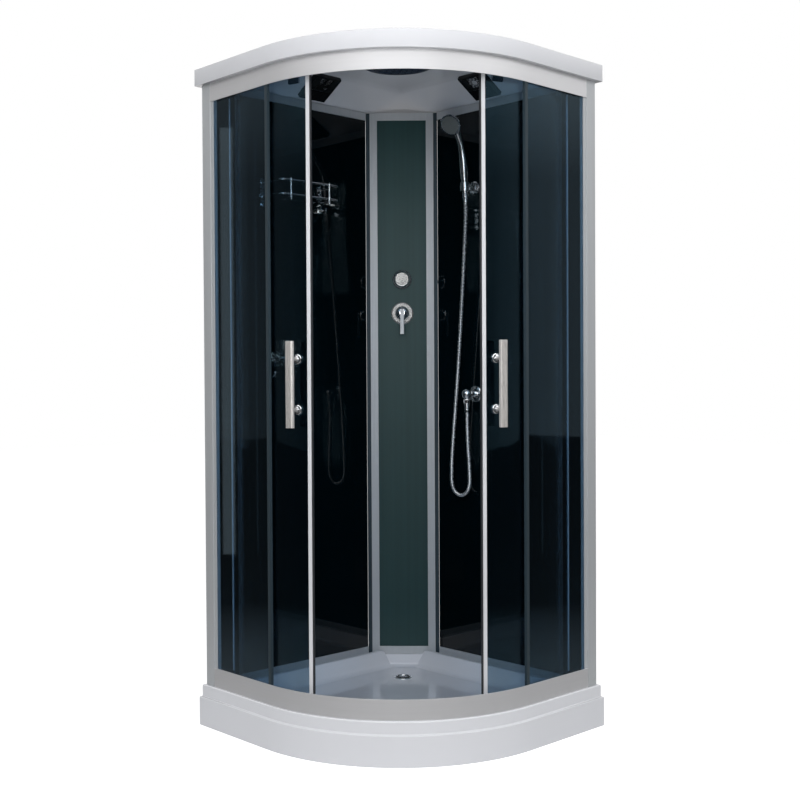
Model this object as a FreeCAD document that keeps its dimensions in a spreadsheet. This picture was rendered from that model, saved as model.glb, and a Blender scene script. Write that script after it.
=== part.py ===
"""Corner shower cabin with a quadrant tray, tinted walls, a domed roof and two curved doors.

Millimetres.  +Z is up and the origin is at the middle of the square footprint, on the floor.
The cabin stands in a room corner at (+X, +Y): its left wall, seen from the doorway, lies along
Y = +side / 2 and its right wall along X = +side / 2.  The front is an arc about (bend, bend).
X and Y swap places in the mirror plane, so the right half is the left half mirrored.
The doors are stored fully open.
"""
import FreeCAD, Part
import math
import os
import re
import Sketcher

V = FreeCAD.Vector
doc = FreeCAD.newDocument("ShowerCabin")

# ---------------------------------------------------------------- driving sizes
SIZES = {
    # footprint and heights
    "side": 900, "front_radius": 550, "roof_base": 2007, "fascia_high": 51, "roof_rise": 92,
    # tray
    "tray_skin": 6, "skirt_high": 90, "band_inset": 7, "rim_high": 128, "ledge_high": 115,
    "rim_wide": 78, "ledge_wide": 60, "basin_floor": 72, "basin_slope": 20,
    "drain_from_middle": 219, "drain_hole": 26, "drain_cover_radius": 33, "drain_cover_thick": 4,
    "outlet_radius": 20, "outlet_reach": 150, "outlet_up": 34, "outlet_end": 50,
    "outlet_notch": 84, "frame_tube": 30, "frame_inset": 30, "row_back": 120, "row_middle": 390,
    "row_front": 650, "row_front_cut": 90, "foot_radius": 20, "foot_pad": 8, "foot_stem": 5,
    "foot_nut": 9,
    # rails over and under the glass
    "rail_inset": 14, "rail_wall": 3, "rail_high": 60, "top_rail_high": 57, "rail_deep": 58,
    "glazing_floor": 22, "track_deep": 31, "track_up": 16, "guide_lip": 19,
    # posts and fixed glass
    "post_wide": 42, "post_deep": 30, "post_from_wall": 20, "jamb_wide": 14, "jamb_deep": 20,
    "glass_thick": 5, "fixed_inset": 20, "strip_wide": 12, "strip_wall": 2.5,
    # doors
    "door_inset": 49.5, "door_overrun": 19, "door_gap": 0.4, "seal_wide": 5, "strip_proud": 1.5,
    "tail_wide": 9, "door_drop": 13, "door_lift": 48, "pole_near_share": 0.1527,
    "pole_far_share": 0.2782, "door_turn": 21.5,
    "wheel_radius": 11, "wheel_wide": 8, "wheel_inset": 34, "axle_radius": 4, "axle_gap": 0.05,
    "hanger_wide": 36, "hanger_plate": 3, "hanger_clear": 5, "hanger_front": 62, "hanger_back": 65,
    "handle_back": 50, "handle_stand": 43, "handle_long": 250, "handle_wide": 22, "handle_thick": 9,
    "handle_pitch": 147, "handle_middle": 1073, "handle_post": 8, "shoe_wide": 30, "shoe_thick": 8,
    # walls
    "wall_inset": 31, "wall_thick": 5, "wall_rail_high": 26, "wall_rail_front": 5,
    "wall_rail_deep": 15, "wall_top": 2024,
    # corner column
    "column_depth": 170.4, "column_half": 112, "stile_wide": 26, "stile_deep": 18,
    "column_panel_back": 4, "side_strip_wide": 14, "side_strip_thick": 6,
    # mixer and diverter
    "mixer_up": 1320, "mixer_plate_radius": 39, "mixer_plate_thick": 6, "cap_radius": 22,
    "cap_long": 30, "lever_long": 80, "lever_wide": 14, "lever_thick": 5, "run_gap": 0.3,
    "diverter_up": 1439, "ring_radius": 33.5, "ring_thick": 6, "knob_radius": 26, "knob_long": 24,
    "inlet_radius": 10.48, "inlet_apart": 75, "inlet_long": 30, "valve_wide": 100, "valve_high": 60,
    "valve_deep": 42, "diverter_body": 26, "stem_radius": 10, "stem_out": 14, "pipe_radius": 6,
    # hand shower on the right wall
    "shower_along": 60, "holder_up": 1736, "holder_out": 51, "pivot_out": 21, "pivot_pin": 3,
    "holder_plate": 23, "handset_lean": 3, "handset_swivel": 12, "handle_radius": 10.5,
    "handle_straight": 70, "handset_long": 206, "handset_reach": 62, "handset_below": 25,
    "head_radius": 37, "head_thick": 20, "head_tilt": 30,
    "elbow_up": 1036, "elbow_out": 45, "elbow_plate": 28, "elbow_drop": 43, "hose_radius": 6.5,
    "hose_wall": 1.5, "hose_ribs": 160, "rib_deep": 0.6, "hose_loop": 309,
    # shelf and cup on the left wall
    "shelf_middle": -93, "shelf_long": 250, "shelf_deep": 113, "shelf_up": 1660, "shelf_thick": 6,
    "shelf_rod": 3.5, "rod_low": 18, "rod_high": 64, "shelf_off": 8, "bracket_wide": 18,
    "bracket_thick": 3, "bracket_over": 12, "arm_wide": 10, "arm_reach": 30,
    "cup_along": -170, "cup_out": 74, "cup_rim": 1214, "cup_high": 84, "cup_rim_radius": 47,
    "cup_foot_radius": 36, "cup_wall": 3, "ring_up": 1157, "holder_rod": 3.5,
    # roof
    "roof_skin": 6, "ceiling_inset": 26, "ceiling_further": 12, "shoulder_up": 41, "crown_up": 62, "shoulder_share": 0.371,
    "crown_share": 0.714, "top_share": 0.943, "unit_along": -22, "unit_inset": 93,
    "unit_side": 108, "unit_thick": 12, "fan_radius": 46, "overhead_radius": 115,
    "overhead_thick": 16, "overhead_up": 2062, "jet_pitch": 21.5, "jet_radius": 2.2,
    "jet_long": 1.5,
}
sheet = doc.addObject("Spreadsheet::Sheet", "Sizes")
for row, (alias, number) in enumerate(SIZES.items(), start=1):
    sheet.set("A%d" % row, alias)
    sheet.set("B%d" % row, str(number))
    sheet.setAlias("B%d" % row, alias)
doc.recompute()


class Sheet:
    """The spreadsheet's cells by name, as plain numbers."""

    def __getattr__(self, name):
        return float(sheet.get(name))


s = Sheet()
WORD = re.compile(r"[a-z][a-z_]+(?![a-z_(])")


def bound(text):
    """An expression whose words are cells of the sheet."""
    return WORD.sub(lambda found: "Sizes." + found.group(0), str(text))


# ---------------------------------------------------------------- places
HALF = s.side / 2
BEND = HALF + s.front_radius - s.side              # where the arc's centre lies, on X and on Y
ROOF_TOP = s.roof_base + s.fascia_high + s.roof_rise
COLUMN = HALF * math.sqrt(2) - s.column_depth      # the column's front, from the middle


def axes(base, across, up, out):
    """A placement whose own X, Y and Z point along three unit vectors."""
    matrix = FreeCAD.Matrix(across.x, up.x, out.x, base.x, across.y, up.y, out.y, base.y,
                            across.z, up.z, out.z, base.z, 0, 0, 0, 1)
    return FreeCAD.Placement(matrix)


def column_point(aside, depth, height):
    """A point aside of the mirror plane, and so deep into the room corner."""
    root = math.sqrt(0.5)
    return V((aside + depth) * root, (depth - aside) * root, height)


def on_column(height, off=0.0, aside=0.0):
    """On the column's panel: X to the right, Y up and Z out of the panel."""
    root = math.sqrt(0.5)
    base = column_point(aside, COLUMN + s.column_panel_back - off, height)
    return axes(base, V(root, -root, 0), V(0, 0, 1), V(-root, -root, 0))


def on_left_wall(along, height, off=0.0):
    """On the left wall's face at X = along: X to the right, Y up and Z out of the wall."""
    base = V(along, HALF - s.wall_inset - off, height)
    return axes(base, V(1, 0, 0), V(0, 0, 1), V(0, -1, 0))


def on_right_wall(along, height, off=0.0):
    """On the right wall's face at Y = along: X to the right, Y up and Z out of the wall."""
    base = V(HALF - s.wall_inset - off, along, height)
    return axes(base, V(0, -1, 0), V(0, 0, 1), V(-1, 0, 0))


def mirrored(shape):
    """The same piece on the cabin's other half."""
    return shape.mirror(V(0, 0, 0), V(1, -1, 0))


# ---------------------------------------------------------------- ways of making a piece
kept = []


def keep(item, label, place=None):
    item.Label = label
    if place is not None:
        item.Placement = place
    kept.append(item)
    return item


def solid(label, shape, place=None):
    """A piece that follows the cabin's footprint or another curve, made with Part's functions."""
    item = doc.addObject("Part::Feature", label)
    item.Shape = shape.removeSplitter()
    return keep(item, label, place)


def body(label, place=None):
    return keep(doc.addObject("PartDesign::Body", label), label, place)


def sketch(owner, plane, corners=(), circles=()):
    """A closed outline through corners, and circles (x, y, radius), all tied to the sheet."""
    drawing = owner.newObject("Sketcher::SketchObject", "Sketch")
    base = [one for one in owner.Origin.OriginFeatures if one.Role == plane][0]
    drawing.AttachmentSupport = (base, [""])
    drawing.MapMode = "FlatFace"
    ties = []
    count = len(corners)
    for number in range(count):
        turn = 2 * math.pi * number / count
        after = 2 * math.pi * (number + 1) / count
        drawing.addGeometry(Part.LineSegment(V(50 * math.cos(turn), 50 * math.sin(turn), 0),
                                             V(50 * math.cos(after), 50 * math.sin(after), 0)))
    for number in range(count):
        drawing.addConstraint(Sketcher.Constraint("Coincident", number, 2, (number + 1) % count, 1))
    for number, (across, up) in enumerate(corners):
        ties += [(number, 1, "DistanceX", across), (number, 1, "DistanceY", up)]
    for number, (across, up, radius) in enumerate(circles, start=count):
        drawing.addGeometry(Part.Circle(V(1, 1, 0), V(0, 0, 1), 5))
        ties += [(number, 3, "DistanceX", across), (number, 3, "DistanceY", up)]
        tie = drawing.addConstraint(Sketcher.Constraint("Radius", number, 5))
        drawing.setExpression("Constraints[%d]" % tie, bound(radius))
    for line, point, kind, text in ties:
        if str(text) == "0":
            axis = -2 if kind == "DistanceX" else -1
            drawing.addConstraint(Sketcher.Constraint("PointOnObject", line, point, axis))
        else:
            tie = drawing.addConstraint(Sketcher.Constraint(kind, -1, 1, line, point, 1))
            drawing.setExpression("Constraints[%d]" % tie, bound(text))
    return drawing


def pad(owner, drawing, length, backwards=False):
    feature = owner.newObject("PartDesign::Pad", "Pad")
    feature.Profile = drawing
    feature.setExpression("Length", bound(length))
    feature.Reversed = backwards
    return feature


def pocket(owner, drawing, length, backwards=False):
    feature = owner.newObject("PartDesign::Pocket", "Pocket")
    feature.Profile = drawing
    feature.setExpression("Length", bound(length))
    feature.Reversed = backwards
    return feature


def turned(label, corners, place):
    """A piece turned on its own Z axis from a half section of (radius, height) corners."""
    owner = body(label, place)
    feature = owner.newObject("PartDesign::Revolution", "Revolution")
    drawing = sketch(owner, "XZ_Plane", corners)
    feature.Profile = drawing
    feature.ReferenceAxis = (drawing, ["V_Axis"])
    feature.Angle = 360
    return owner


def extruded(label, plane, corners, length, place=None, backwards=False, circles=()):
    owner = body(label, place)
    pad(owner, sketch(owner, plane, corners, circles), length, backwards)
    return owner


def bar(label, place, corner, length, width, height):
    """A straight bar from a corner (x, y, z) of a place's own frame, along its X, Y and Z."""
    item = doc.addObject("Part::Box", label)
    for side, text in (("Length", length), ("Width", width), ("Height", height)):
        item.setExpression(side, bound(text))
    return keep(item, label, place.multiply(FreeCAD.Placement(V(*corner), FreeCAD.Rotation())))


def block(x0, y0, z0, x1, y1, z1):
    return Part.makeBox(x1 - x0, y1 - y0, z1 - z0, V(x0, y0, z0))


def rod(start, end, radius):
    span = end.sub(start)
    return Part.makeCylinder(radius, span.Length, start, span)


def tube_path(points, largest=1e6):
    """Straight runs joined by tangent arcs, as large as the runs beside each corner allow."""
    edges = []
    here = points[0]
    for before, corner, after in zip(points, points[1:], points[2:]):
        back = before.sub(corner).normalize()
        ahead = after.sub(corner).normalize()
        half_turn = (math.pi - back.getAngle(ahead)) / 2
        shorter = min(before.sub(corner).Length, after.sub(corner).Length)
        cut = min(0.45 * shorter, largest * math.tan(half_turn))
        bend = cut / math.tan(half_turn)
        start = corner.add(V(back).multiply(cut))
        end = corner.add(V(ahead).multiply(cut))
        middle = V(back).add(ahead).normalize()
        middle = corner.add(middle.multiply(bend / math.cos(half_turn) - bend))
        edges.append(Part.LineSegment(here, start).toShape())
        edges.append(Part.Arc(start, middle, end).toShape())
        bends.append(bend)
        here = end
    edges.append(Part.LineSegment(here, points[-1]).toShape())
    return edges


def bent_tube(points, radius, wall=None, largest=1e6):
    """A round bar, or with a wall a tube, along a path through points."""
    path = Part.Wire(tube_path(points, largest))
    first = points[1].sub(points[0]).normalize()
    ring = Part.Wire(Part.makeCircle(radius, points[0], first))
    tube = path.makePipeShell([ring], True, False)
    if wall:
        ring = Part.Wire(Part.makeCircle(radius - wall, points[0], first))
        tube = tube.cut(path.makePipeShell([ring], True, False))
    return tube


def ribbed_hose(points, radius, wall, ribs, deep):
    """A hose of equal ribs between plain ends, one diameter long, with its bore."""
    edges = tube_path(points)
    length = sum(edge.Length for edge in edges)
    plain = 2 * radius
    pitch = (length - 2 * plain) / ribs
    rings = [(0, radius - deep), (plain, radius - deep)]
    for number in range(int(ribs)):
        rings += [(plain + pitch * (number + share), radius - low)
                  for share, low in ((0.12, deep), (0.32, 0), (0.68, 0), (0.88, deep))]
    rings += [(length - plain, radius - deep), (length, radius - deep)]
    wires = []
    for place, size in rings:
        left = place
        for edge in edges:
            if left <= edge.Length + 1e-7 or edge is edges[-1]:
                break
            left -= edge.Length
        spot = edge.getParameterByLength(min(left, edge.Length))
        way = edge.tangentAt(spot)
        across = V(1, 0, 0).sub(V(way).multiply(way.x)).normalize()
        ring = Part.makeCircle(size)
        ring.Placement = axes(edge.valueAt(spot), across, way.cross(across), way)
        wires.append(Part.Wire(ring))
    hose = Part.makeLoft(wires, True, True)
    first = points[1].sub(points[0]).normalize()
    ring = Part.Wire(Part.makeCircle(radius - wall, points[0], first))
    return hose.cut(Part.Wire(edges).makePipeShell([ring], True, False))


bends = []


# ---------------------------------------------------------------- the footprint
def footprint(inset, height):
    """The cabin's outline drawn in by inset: two walls, two straights and the front arc."""
    edge = HALF - inset
    radius = s.front_radius - inset
    slant = BEND - radius * math.sqrt(0.5)
    back, left, right = V(edge, edge, height), V(-edge, edge, height), V(edge, -edge, height)
    near_left, near_right = V(-edge, BEND, height), V(BEND, -edge, height)
    arc = Part.Arc(near_left, V(slant, slant, height), near_right).toShape()
    return Part.Wire([Part.LineSegment(back, left).toShape(),
                      Part.LineSegment(left, near_left).toShape(), arc,
                      Part.LineSegment(near_right, right).toShape(),
                      Part.LineSegment(right, back).toShape()])


def slab(inset, low, high):
    return Part.Face(footprint(inset, low)).extrude(V(0, 0, high - low))


def band(near, far, low, high, end):
    """A wall that follows the front from post to post, between two insets."""
    sides = []
    for inset in (near, far):
        edge = HALF - inset
        radius = s.front_radius - inset
        slant = BEND - radius * math.sqrt(0.5)
        arc = Part.Arc(V(-edge, BEND, low), V(slant, slant, low), V(BEND, -edge, low)).toShape()
        sides.append((V(-edge, end, low), V(-edge, BEND, low), arc, V(BEND, -edge, low),
                      V(end, -edge, low)))
    (a0, a1, arc_a, a2, a3), (b0, b1, arc_b, b2, b3) = sides
    wire = Part.Wire([Part.LineSegment(a0, a1).toShape(), arc_a, Part.LineSegment(a2, a3).toShape(),
                      Part.LineSegment(a3, b3).toShape(), Part.LineSegment(b3, b2).toShape(), arc_b,
                      Part.LineSegment(b1, b0).toShape(), Part.LineSegment(b0, a0).toShape()])
    return Part.Face(wire).extrude(V(0, 0, high - low))


def door_arc(near, far, start, stop, low, high):
    """A curved wall of the left door, closed: start and stop are measured from the cabin's middle
    line, along the arc, and near and far are insets."""
    turns = [math.radians(225) - place / DOOR_RADIUS for place in (start, stop)]
    turns.insert(1, sum(turns) / 2)
    rows = []
    for inset in (near, far):
        radius = s.front_radius - inset
        rows.append([V(BEND + radius * math.cos(turn), BEND + radius * math.sin(turn), low)
                     for turn in turns])
    outer, inner = rows
    wire = Part.Wire([Part.Arc(*outer).toShape(), Part.LineSegment(outer[2], inner[2]).toShape(),
                      Part.Arc(*inner).toShape(), Part.LineSegment(inner[0], outer[0]).toShape()])
    return Part.Face(wire).extrude(V(0, 0, high - low))


def at_door(distance, inset, height):
    """On the closed left door: X to the right, towards the middle, Y up and Z outwards."""
    turn = math.radians(225) - distance / DOOR_RADIUS
    out = V(math.cos(turn), math.sin(turn), 0)
    right = V(-out.y, out.x, 0)
    base = V(BEND, BEND, height).add(V(out).multiply(s.front_radius - inset))
    return axes(base, right, V(0, 0, 1), out)


DOOR_RADIUS = s.front_radius - s.door_inset - s.glass_thick / 2
DOOR_LENGTH = DOOR_RADIUS * math.pi / 4 + s.door_overrun

def corner_block(front, low, high):
    """What lies behind a plane across the room corner, for cutting."""
    flat = [column_point(-HALF, front, low), column_point(HALF, front, low),
            column_point(HALF, 2 * HALF, low), column_point(-HALF, 2 * HALF, low),
            column_point(-HALF, front, low)]
    return Part.Face(Part.makePolygon(flat)).extrude(V(0, 0, high - low))


# ---------------------------------------------------------------- tray
under_floor = s.basin_floor - s.tray_skin
tray = slab(0, 0, s.skirt_high).fuse(slab(s.band_inset, s.skirt_high, s.rim_high))
wall_end = -HALF + s.rail_inset + s.post_deep
ledge = block(wall_end, HALF - s.ledge_wide, s.ledge_high, HALF, HALF, s.rim_high + 1)
hollow = slab(s.tray_skin, 0, s.skirt_high - s.tray_skin)
hollow = hollow.fuse(slab(s.band_inset + s.tray_skin, 0, s.ledge_high - s.tray_skin))
shell = Part.makeLoft([footprint(s.rim_wide + s.basin_slope - s.tray_skin, under_floor),
                       footprint(s.rim_wide - s.tray_skin, s.rim_high)], True, True)
basin = Part.makeLoft([footprint(s.rim_wide + s.basin_slope, s.basin_floor),
                       footprint(s.rim_wide, s.rim_high + 0.01)], True, True)
corner_front = COLUMN - 12
basin = basin.cut(corner_block(corner_front, 0, HALF))
shell = shell.cut(corner_block(corner_front + s.tray_skin, 0, HALF))
corner = corner_block(corner_front, s.ledge_high, s.rim_high + 1)
drain = V(s.drain_from_middle, s.drain_from_middle, 0)
waste = Part.makeCylinder(s.drain_hole, s.rim_high, drain)
seat = Part.makeCylinder(s.drain_cover_radius + 1, 10, drain.add(V(0, 0, s.basin_floor - 2)))
side_notch = block(HALF - 2 * s.tray_skin, drain.y - s.outlet_notch / 2, -1, HALF + 1,
                   drain.y + s.outlet_notch / 2, s.outlet_up + s.outlet_notch / 2)
tray = tray.cut([ledge, mirrored(ledge), corner, hollow.cut(shell), basin, waste, seat,
                 side_notch])
solid("tray", tray)

tube = s.frame_tube
tube_low = under_floor - tube
frame_ends = HALF - s.frame_inset
back_row, middle_row, front_row = [HALF - s.row_back, HALF - s.row_middle, HALF - s.row_front]
rows = {back_row: -frame_ends, middle_row: -frame_ends, front_row: -frame_ends + s.row_front_cut}
bars = [block(start, place, tube_low, frame_ends, place + tube, under_floor)
        for place, start in rows.items()]
bars += [block(-tube, middle_row + tube, tube_low, 0, back_row, under_floor),
         block(-tube, front_row + tube, tube_low, 0, middle_row, under_floor)]
solid("tray_frame", Part.makeCompound(bars))

feet = []
for place, start in rows.items():
    for across in (start + 2 * s.foot_radius, frame_ends - 2 * s.foot_radius):
        middle = V(across, place + tube / 2, 0)
        foot = Part.makeCylinder(s.foot_radius, s.foot_pad, middle)
        stem = Part.makeCylinder(s.foot_stem, tube_low, middle)
        nut = Part.makeCylinder(s.foot_nut, s.foot_stem, middle.add(V(0, 0, tube_low - s.foot_stem)))
        feet.append(foot.fuse([stem, nut]))
solid("tray_feet", Part.makeCompound(feet))

cup_radius = s.drain_hole + 8
trap = Part.makeCylinder(s.drain_cover_radius + 9, 5, drain.add(V(0, 0, under_floor - 5)))
outlet = drain.add(V(0, 0, s.outlet_up))
trap = trap.fuse([Part.makeCylinder(cup_radius, under_floor - 10, drain.add(V(0, 0, 10))),
                  Part.makeCylinder(s.outlet_radius - 1.5, s.outlet_reach, outlet, V(1, 0, 0)),
                  Part.makeCylinder(s.outlet_radius, s.outlet_end,
                                    outlet.add(V(s.outlet_reach - s.outlet_end, 0, 0)), V(1, 0, 0))])
trap = trap.cut([Part.makeCylinder(s.drain_hole, under_floor, drain.add(V(0, 0, 13))),
                 Part.makeCylinder(s.outlet_radius - 3, s.outlet_reach, outlet, V(1, 0, 0))])
solid("drain_trap", trap)

spigot = "drain_hole - 1"
turned("drain_cover", [("0", "drain_cover_thick"), ("drain_cover_radius - 5", "drain_cover_thick"),
                       ("drain_cover_radius", "1.5"), ("drain_cover_radius", "0"),
                       (spigot, "0"), (spigot, "-12"), ("drain_hole - 4", "-12"),
                       ("drain_hole - 4", "1"), ("0", "1")],
       FreeCAD.Placement(drain.add(V(0, 0, s.basin_floor - 2)), FreeCAD.Rotation()))

# ---------------------------------------------------------------- walls and their rails
wall_face = HALF - s.wall_inset
panel_end = COLUMN * math.sqrt(2) - wall_face
wall_low = s.ledge_high + s.rail_wall
panel = block(wall_end, wall_face, wall_low, panel_end, wall_face + s.wall_thick,
              s.wall_top - s.rail_wall)
solid("wall_panel_left", panel)
pipe_hole = Part.makeCylinder(12, 3 * s.wall_thick, V(wall_face - s.wall_thick, s.shower_along,
                                                       s.elbow_up), V(1, 0, 0))
solid("wall_panel_right", mirrored(panel).cut(pipe_hole))

front, rear = "-wall_rail_front", "wall_rail_deep - wall_rail_front"
rail_section = [(front, "0"), (rear, "0"), (rear, "wall_rail_high"),
                ("wall_thick + 0.1", "wall_rail_high"), ("wall_thick + 0.1", "rail_wall"),
                ("-0.1", "rail_wall"), ("-0.1", "wall_rail_high"), (front, "wall_rail_high")]
foot_place = axes(V(wall_end, wall_face, s.ledge_high), V(1, 0, 0), V(0, 1, 0), V(0, 0, 1))
head_place = axes(V(wall_end, wall_face, s.wall_top), V(1, 0, 0), V(0, 1, 0), V(0, 0, 1))
rail_long = "side - column_depth * sqrt(2) + wall_inset - rail_inset - post_deep - 2"
foot_rail = extruded("wall_foot_rail_left", "YZ_Plane", rail_section, rail_long, foot_place)
upturned = [(across, "-(%s)" % up if up != "0" else "0") for across, up in rail_section]
head_rail = extruded("wall_head_rail_left", "YZ_Plane", upturned, rail_long, head_place)


def other_half(source, label):
    """A mirrored copy of a left piece."""
    item = doc.addObject("Part::Mirroring", label)
    item.Source = source
    item.Base = V(0, 0, 0)
    item.Normal = V(1, -1, 0)
    return keep(item, label)


other_half(foot_rail, "wall_foot_rail_right")
other_half(head_rail, "wall_head_rail_right")

glass_side = "fixed_inset - rail_inset"
post_section = [("0", "0"), ("0", "post_wide"), ("post_deep", "post_wide"), ("post_deep", "0"),
                (glass_side + " + glass_thick + 5", "0"),
                (glass_side + " + glass_thick + 5", "-jamb_wide"),
                (glass_side + " + glass_thick + 0.2", "-jamb_wide"),
                (glass_side + " + glass_thick + 0.2", "-1"), (glass_side + " - 0.2", "-1"),
                (glass_side + " - 0.2", "-jamb_wide"), (glass_side + " - 3", "-jamb_wide"),
                (glass_side + " - 3", "0")]
post_start = HALF - s.post_from_wall - s.post_wide
post_place = axes(V(-HALF + s.rail_inset, post_start, s.rim_high), V(1, 0, 0), V(0, 1, 0),
                  V(0, 0, 1))
post = extruded("wall_post_left", "XY_Plane", post_section, "roof_base - rim_high", post_place)
other_half(post, "wall_post_right")

# ---------------------------------------------------------------- corner column
column = on_column(s.ledge_high)
column_long = "wall_top - ledge_high"
stile_front = s.column_panel_back - s.stile_deep
half = s.column_half
bar("column_stile_left", column, (-half, 0, stile_front), "stile_wide", column_long, "stile_deep")
bar("column_stile_right", column, (half - s.stile_wide, 0, stile_front), "stile_wide", column_long,
    "stile_deep")
between = half - s.stile_wide
cross_bars = []
for low in (s.ledge_high, s.wall_top - s.wall_rail_high):
    cross = block(-between, 0, stile_front, between, s.wall_rail_high, s.column_panel_back)
    cross.Placement = on_column(low)
    cross_bars.append(cross)
solid("column_cross_rails", Part.makeCompound(cross_bars))
edge_strips = []
for start in (-half - s.side_strip_wide, half):
    strip = block(start, 0, s.column_panel_back - s.side_strip_thick, start + s.side_strip_wide,
                  s.wall_top - s.ledge_high, s.column_panel_back)
    strip.Placement = column
    edge_strips.append(strip)
solid("column_side_strips", Part.makeCompound(edge_strips))

panel_base = s.ledge_high + s.wall_rail_high
mixer_y = s.mixer_up - panel_base
diverter_y = s.diverter_up - panel_base
column_panel = block(-between, 0, -s.glass_thick, between,
                     s.wall_top - s.ledge_high - 2 * s.wall_rail_high, 0)
for height in (mixer_y, diverter_y):
    column_panel = column_panel.cut(rod(V(0, height, -s.glass_thick - 1), V(0, height, 1),
                                        s.stem_radius + 3))
solid("column_panel", column_panel, on_column(panel_base))

# ---------------------------------------------------------------- mixer and diverter
turned("mixer_plate", [("stem_radius + 0.3", "0"), ("mixer_plate_radius", "0"), ("mixer_plate_radius", "2"),
                       ("mixer_plate_radius - 4", "mixer_plate_thick"),
                       ("stem_radius + 0.3", "mixer_plate_thick")], on_column(s.mixer_up))
turned("diverter_ring", [("stem_radius + 0.3", "0"), ("ring_radius", "0"), ("ring_radius", "2"),
                         ("ring_radius - 4", "ring_thick"), ("stem_radius + 0.3", "ring_thick")],
       on_column(s.diverter_up))
valve_back = -s.glass_thick - 0.3
valve_rear = valve_back - s.valve_deep
mixer_block = block(-s.valve_wide / 2, -s.valve_high / 2, valve_rear, s.valve_wide / 2,
                    s.valve_high / 2, valve_back)
stem_long = s.mixer_plate_thick + s.stem_out
stops = [rod(V(0, 0, valve_back), V(0, 0, stem_long), s.stem_radius)]
for across in (-s.inlet_apart / 2, s.inlet_apart / 2):
    stops.append(rod(V(across, 0, valve_rear), V(across, 0, valve_rear - s.inlet_long),
                     s.inlet_radius))
mixer_block = mixer_block.fuse(stops)
mixer_block.Placement = on_column(s.mixer_up)
diverter_block = rod(V(0, 0, valve_rear), V(0, 0, valve_back), s.diverter_body)
diverter_block = diverter_block.fuse(rod(V(0, 0, valve_back), V(0, 0, stem_long), s.stem_radius))
diverter_block.Placement = on_column(s.diverter_up)
solid("valve_bodies", Part.makeCompound([mixer_block, diverter_block]))

cap_start = s.mixer_plate_thick + s.run_gap
bore = "stem_radius + 0.05"
stem_end = "stem_out + 0.3"
turned("mixer_cap", [(bore, "0"), ("cap_radius", "0"), ("cap_radius", "cap_long - 10"),
                     ("cap_radius - 3", "cap_long - 4"), ("cap_radius - 9", "cap_long"),
                     ("0", "cap_long"), ("0", stem_end), (bore, stem_end)],
       on_column(s.mixer_up, cap_start))
lever_low = cap_start + s.cap_long + s.run_gap
lever = body("mixer_lever", on_column(s.mixer_up, lever_low))
lever_top = "cap_radius - 10"
pad(lever, sketch(lever, "XY_Plane", [("-lever_wide / 2", lever_top), ("lever_wide / 2", lever_top),
                                      ("lever_wide / 2", lever_top + " - lever_long"),
                                      ("-lever_wide / 2", lever_top + " - lever_long")]),
    "lever_thick")

knob_start = s.ring_thick + s.run_gap
turned("diverter_knob", [(bore, "0"), ("knob_radius", "0"), ("knob_radius", "knob_long - 6"),
                         ("knob_radius - 4", "knob_long - 2"), ("knob_radius - 12", "knob_long"),
                         ("0", "knob_long"), ("0", stem_end), (bore, stem_end)],
       on_column(s.diverter_up, knob_start))

pipe_depth = COLUMN + s.column_panel_back + s.glass_thick + 28
behind_wall = wall_face + s.wall_thick + 2 * s.pipe_radius
riser = rod(column_point(0, pipe_depth, s.mixer_up + s.valve_high / 2),
            column_point(0, pipe_depth, s.diverter_up - s.diverter_body), s.pipe_radius)
head_pipe = rod(column_point(0, pipe_depth, s.diverter_up + s.diverter_body),
                column_point(0, pipe_depth, s.wall_top - 1), s.pipe_radius)
branch_start = column_point(s.diverter_body + 0.6, pipe_depth, s.diverter_up)
branch_turn = s.shower_along + (wall_face - s.shower_along) / 2
branch = bent_tube([branch_start, column_point(95, pipe_depth + 4, s.diverter_up),
                    V(behind_wall, branch_turn, s.diverter_up - 10),
                    V(behind_wall, s.shower_along + 60, s.diverter_up - 60),
                    V(behind_wall, s.shower_along, s.diverter_up - 160),
                    V(behind_wall, s.shower_along, s.elbow_up + 12)], s.pipe_radius)
solid("supply_pipes", Part.makeCompound([riser, head_pipe, branch]))

# ---------------------------------------------------------------- hand shower
elbow_place = on_right_wall(s.shower_along, s.elbow_up)
elbow = Part.makeCylinder(s.elbow_plate, 4)
elbow = elbow.fuse([Part.makeCone(s.elbow_plate, s.elbow_plate - 6, 4, V(0, 0, 4)),
                    rod(V(0, 0, -behind_wall + wall_face - 6), V(0, 0, s.elbow_out), 10),
                    Part.makeSphere(11, V(0, 0, s.elbow_out)),
                    rod(V(0, 0, s.elbow_out), V(0, -s.elbow_drop, s.elbow_out), 8),
                    rod(V(0, -s.elbow_drop + 18, s.elbow_out), V(0, -s.elbow_drop, s.elbow_out), 11)])
solid("wall_elbow", elbow, elbow_place)

lean = math.radians(s.handset_lean)
grip_way = V(-math.sin(lean), 0, math.cos(lean))            # up along the handset
face_way = V(-math.cos(lean), 0, -math.sin(lean))           # out of its spray face
grip = V(wall_face - s.holder_out, s.shower_along, s.holder_up)
handset_place = axes(grip, face_way.cross(grip_way).multiply(-1), face_way.multiply(-1), grip_way)
handset_place = handset_place.multiply(
    FreeCAD.Placement(V(), FreeCAD.Rotation(V(0, 0, 1), s.handset_swivel)))
neck = V(0, -s.handset_reach, s.handset_long)
tilt = math.radians(s.head_tilt)
face_way = V(0, -math.cos(tilt), -math.sin(tilt))
bow = s.handset_long - s.handle_straight
handle = bent_tube([V(0, 0, -s.handset_below), V(0, 0, s.handle_straight),
                    V(0, -0.14 * s.handset_reach, s.handle_straight + 0.42 * bow),
                    V(0, -0.46 * s.handset_reach, s.handle_straight + 0.75 * bow), neck],
                   s.handle_radius)
nut = Part.makeCone(8, s.handle_radius, 15, V(0, 0, -s.handset_below - 15))
dome = Part.makeCone(s.handle_radius + 2, s.head_radius - 3, s.head_thick - 8,
                     neck.sub(V(face_way).multiply(2)), face_way)
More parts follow.
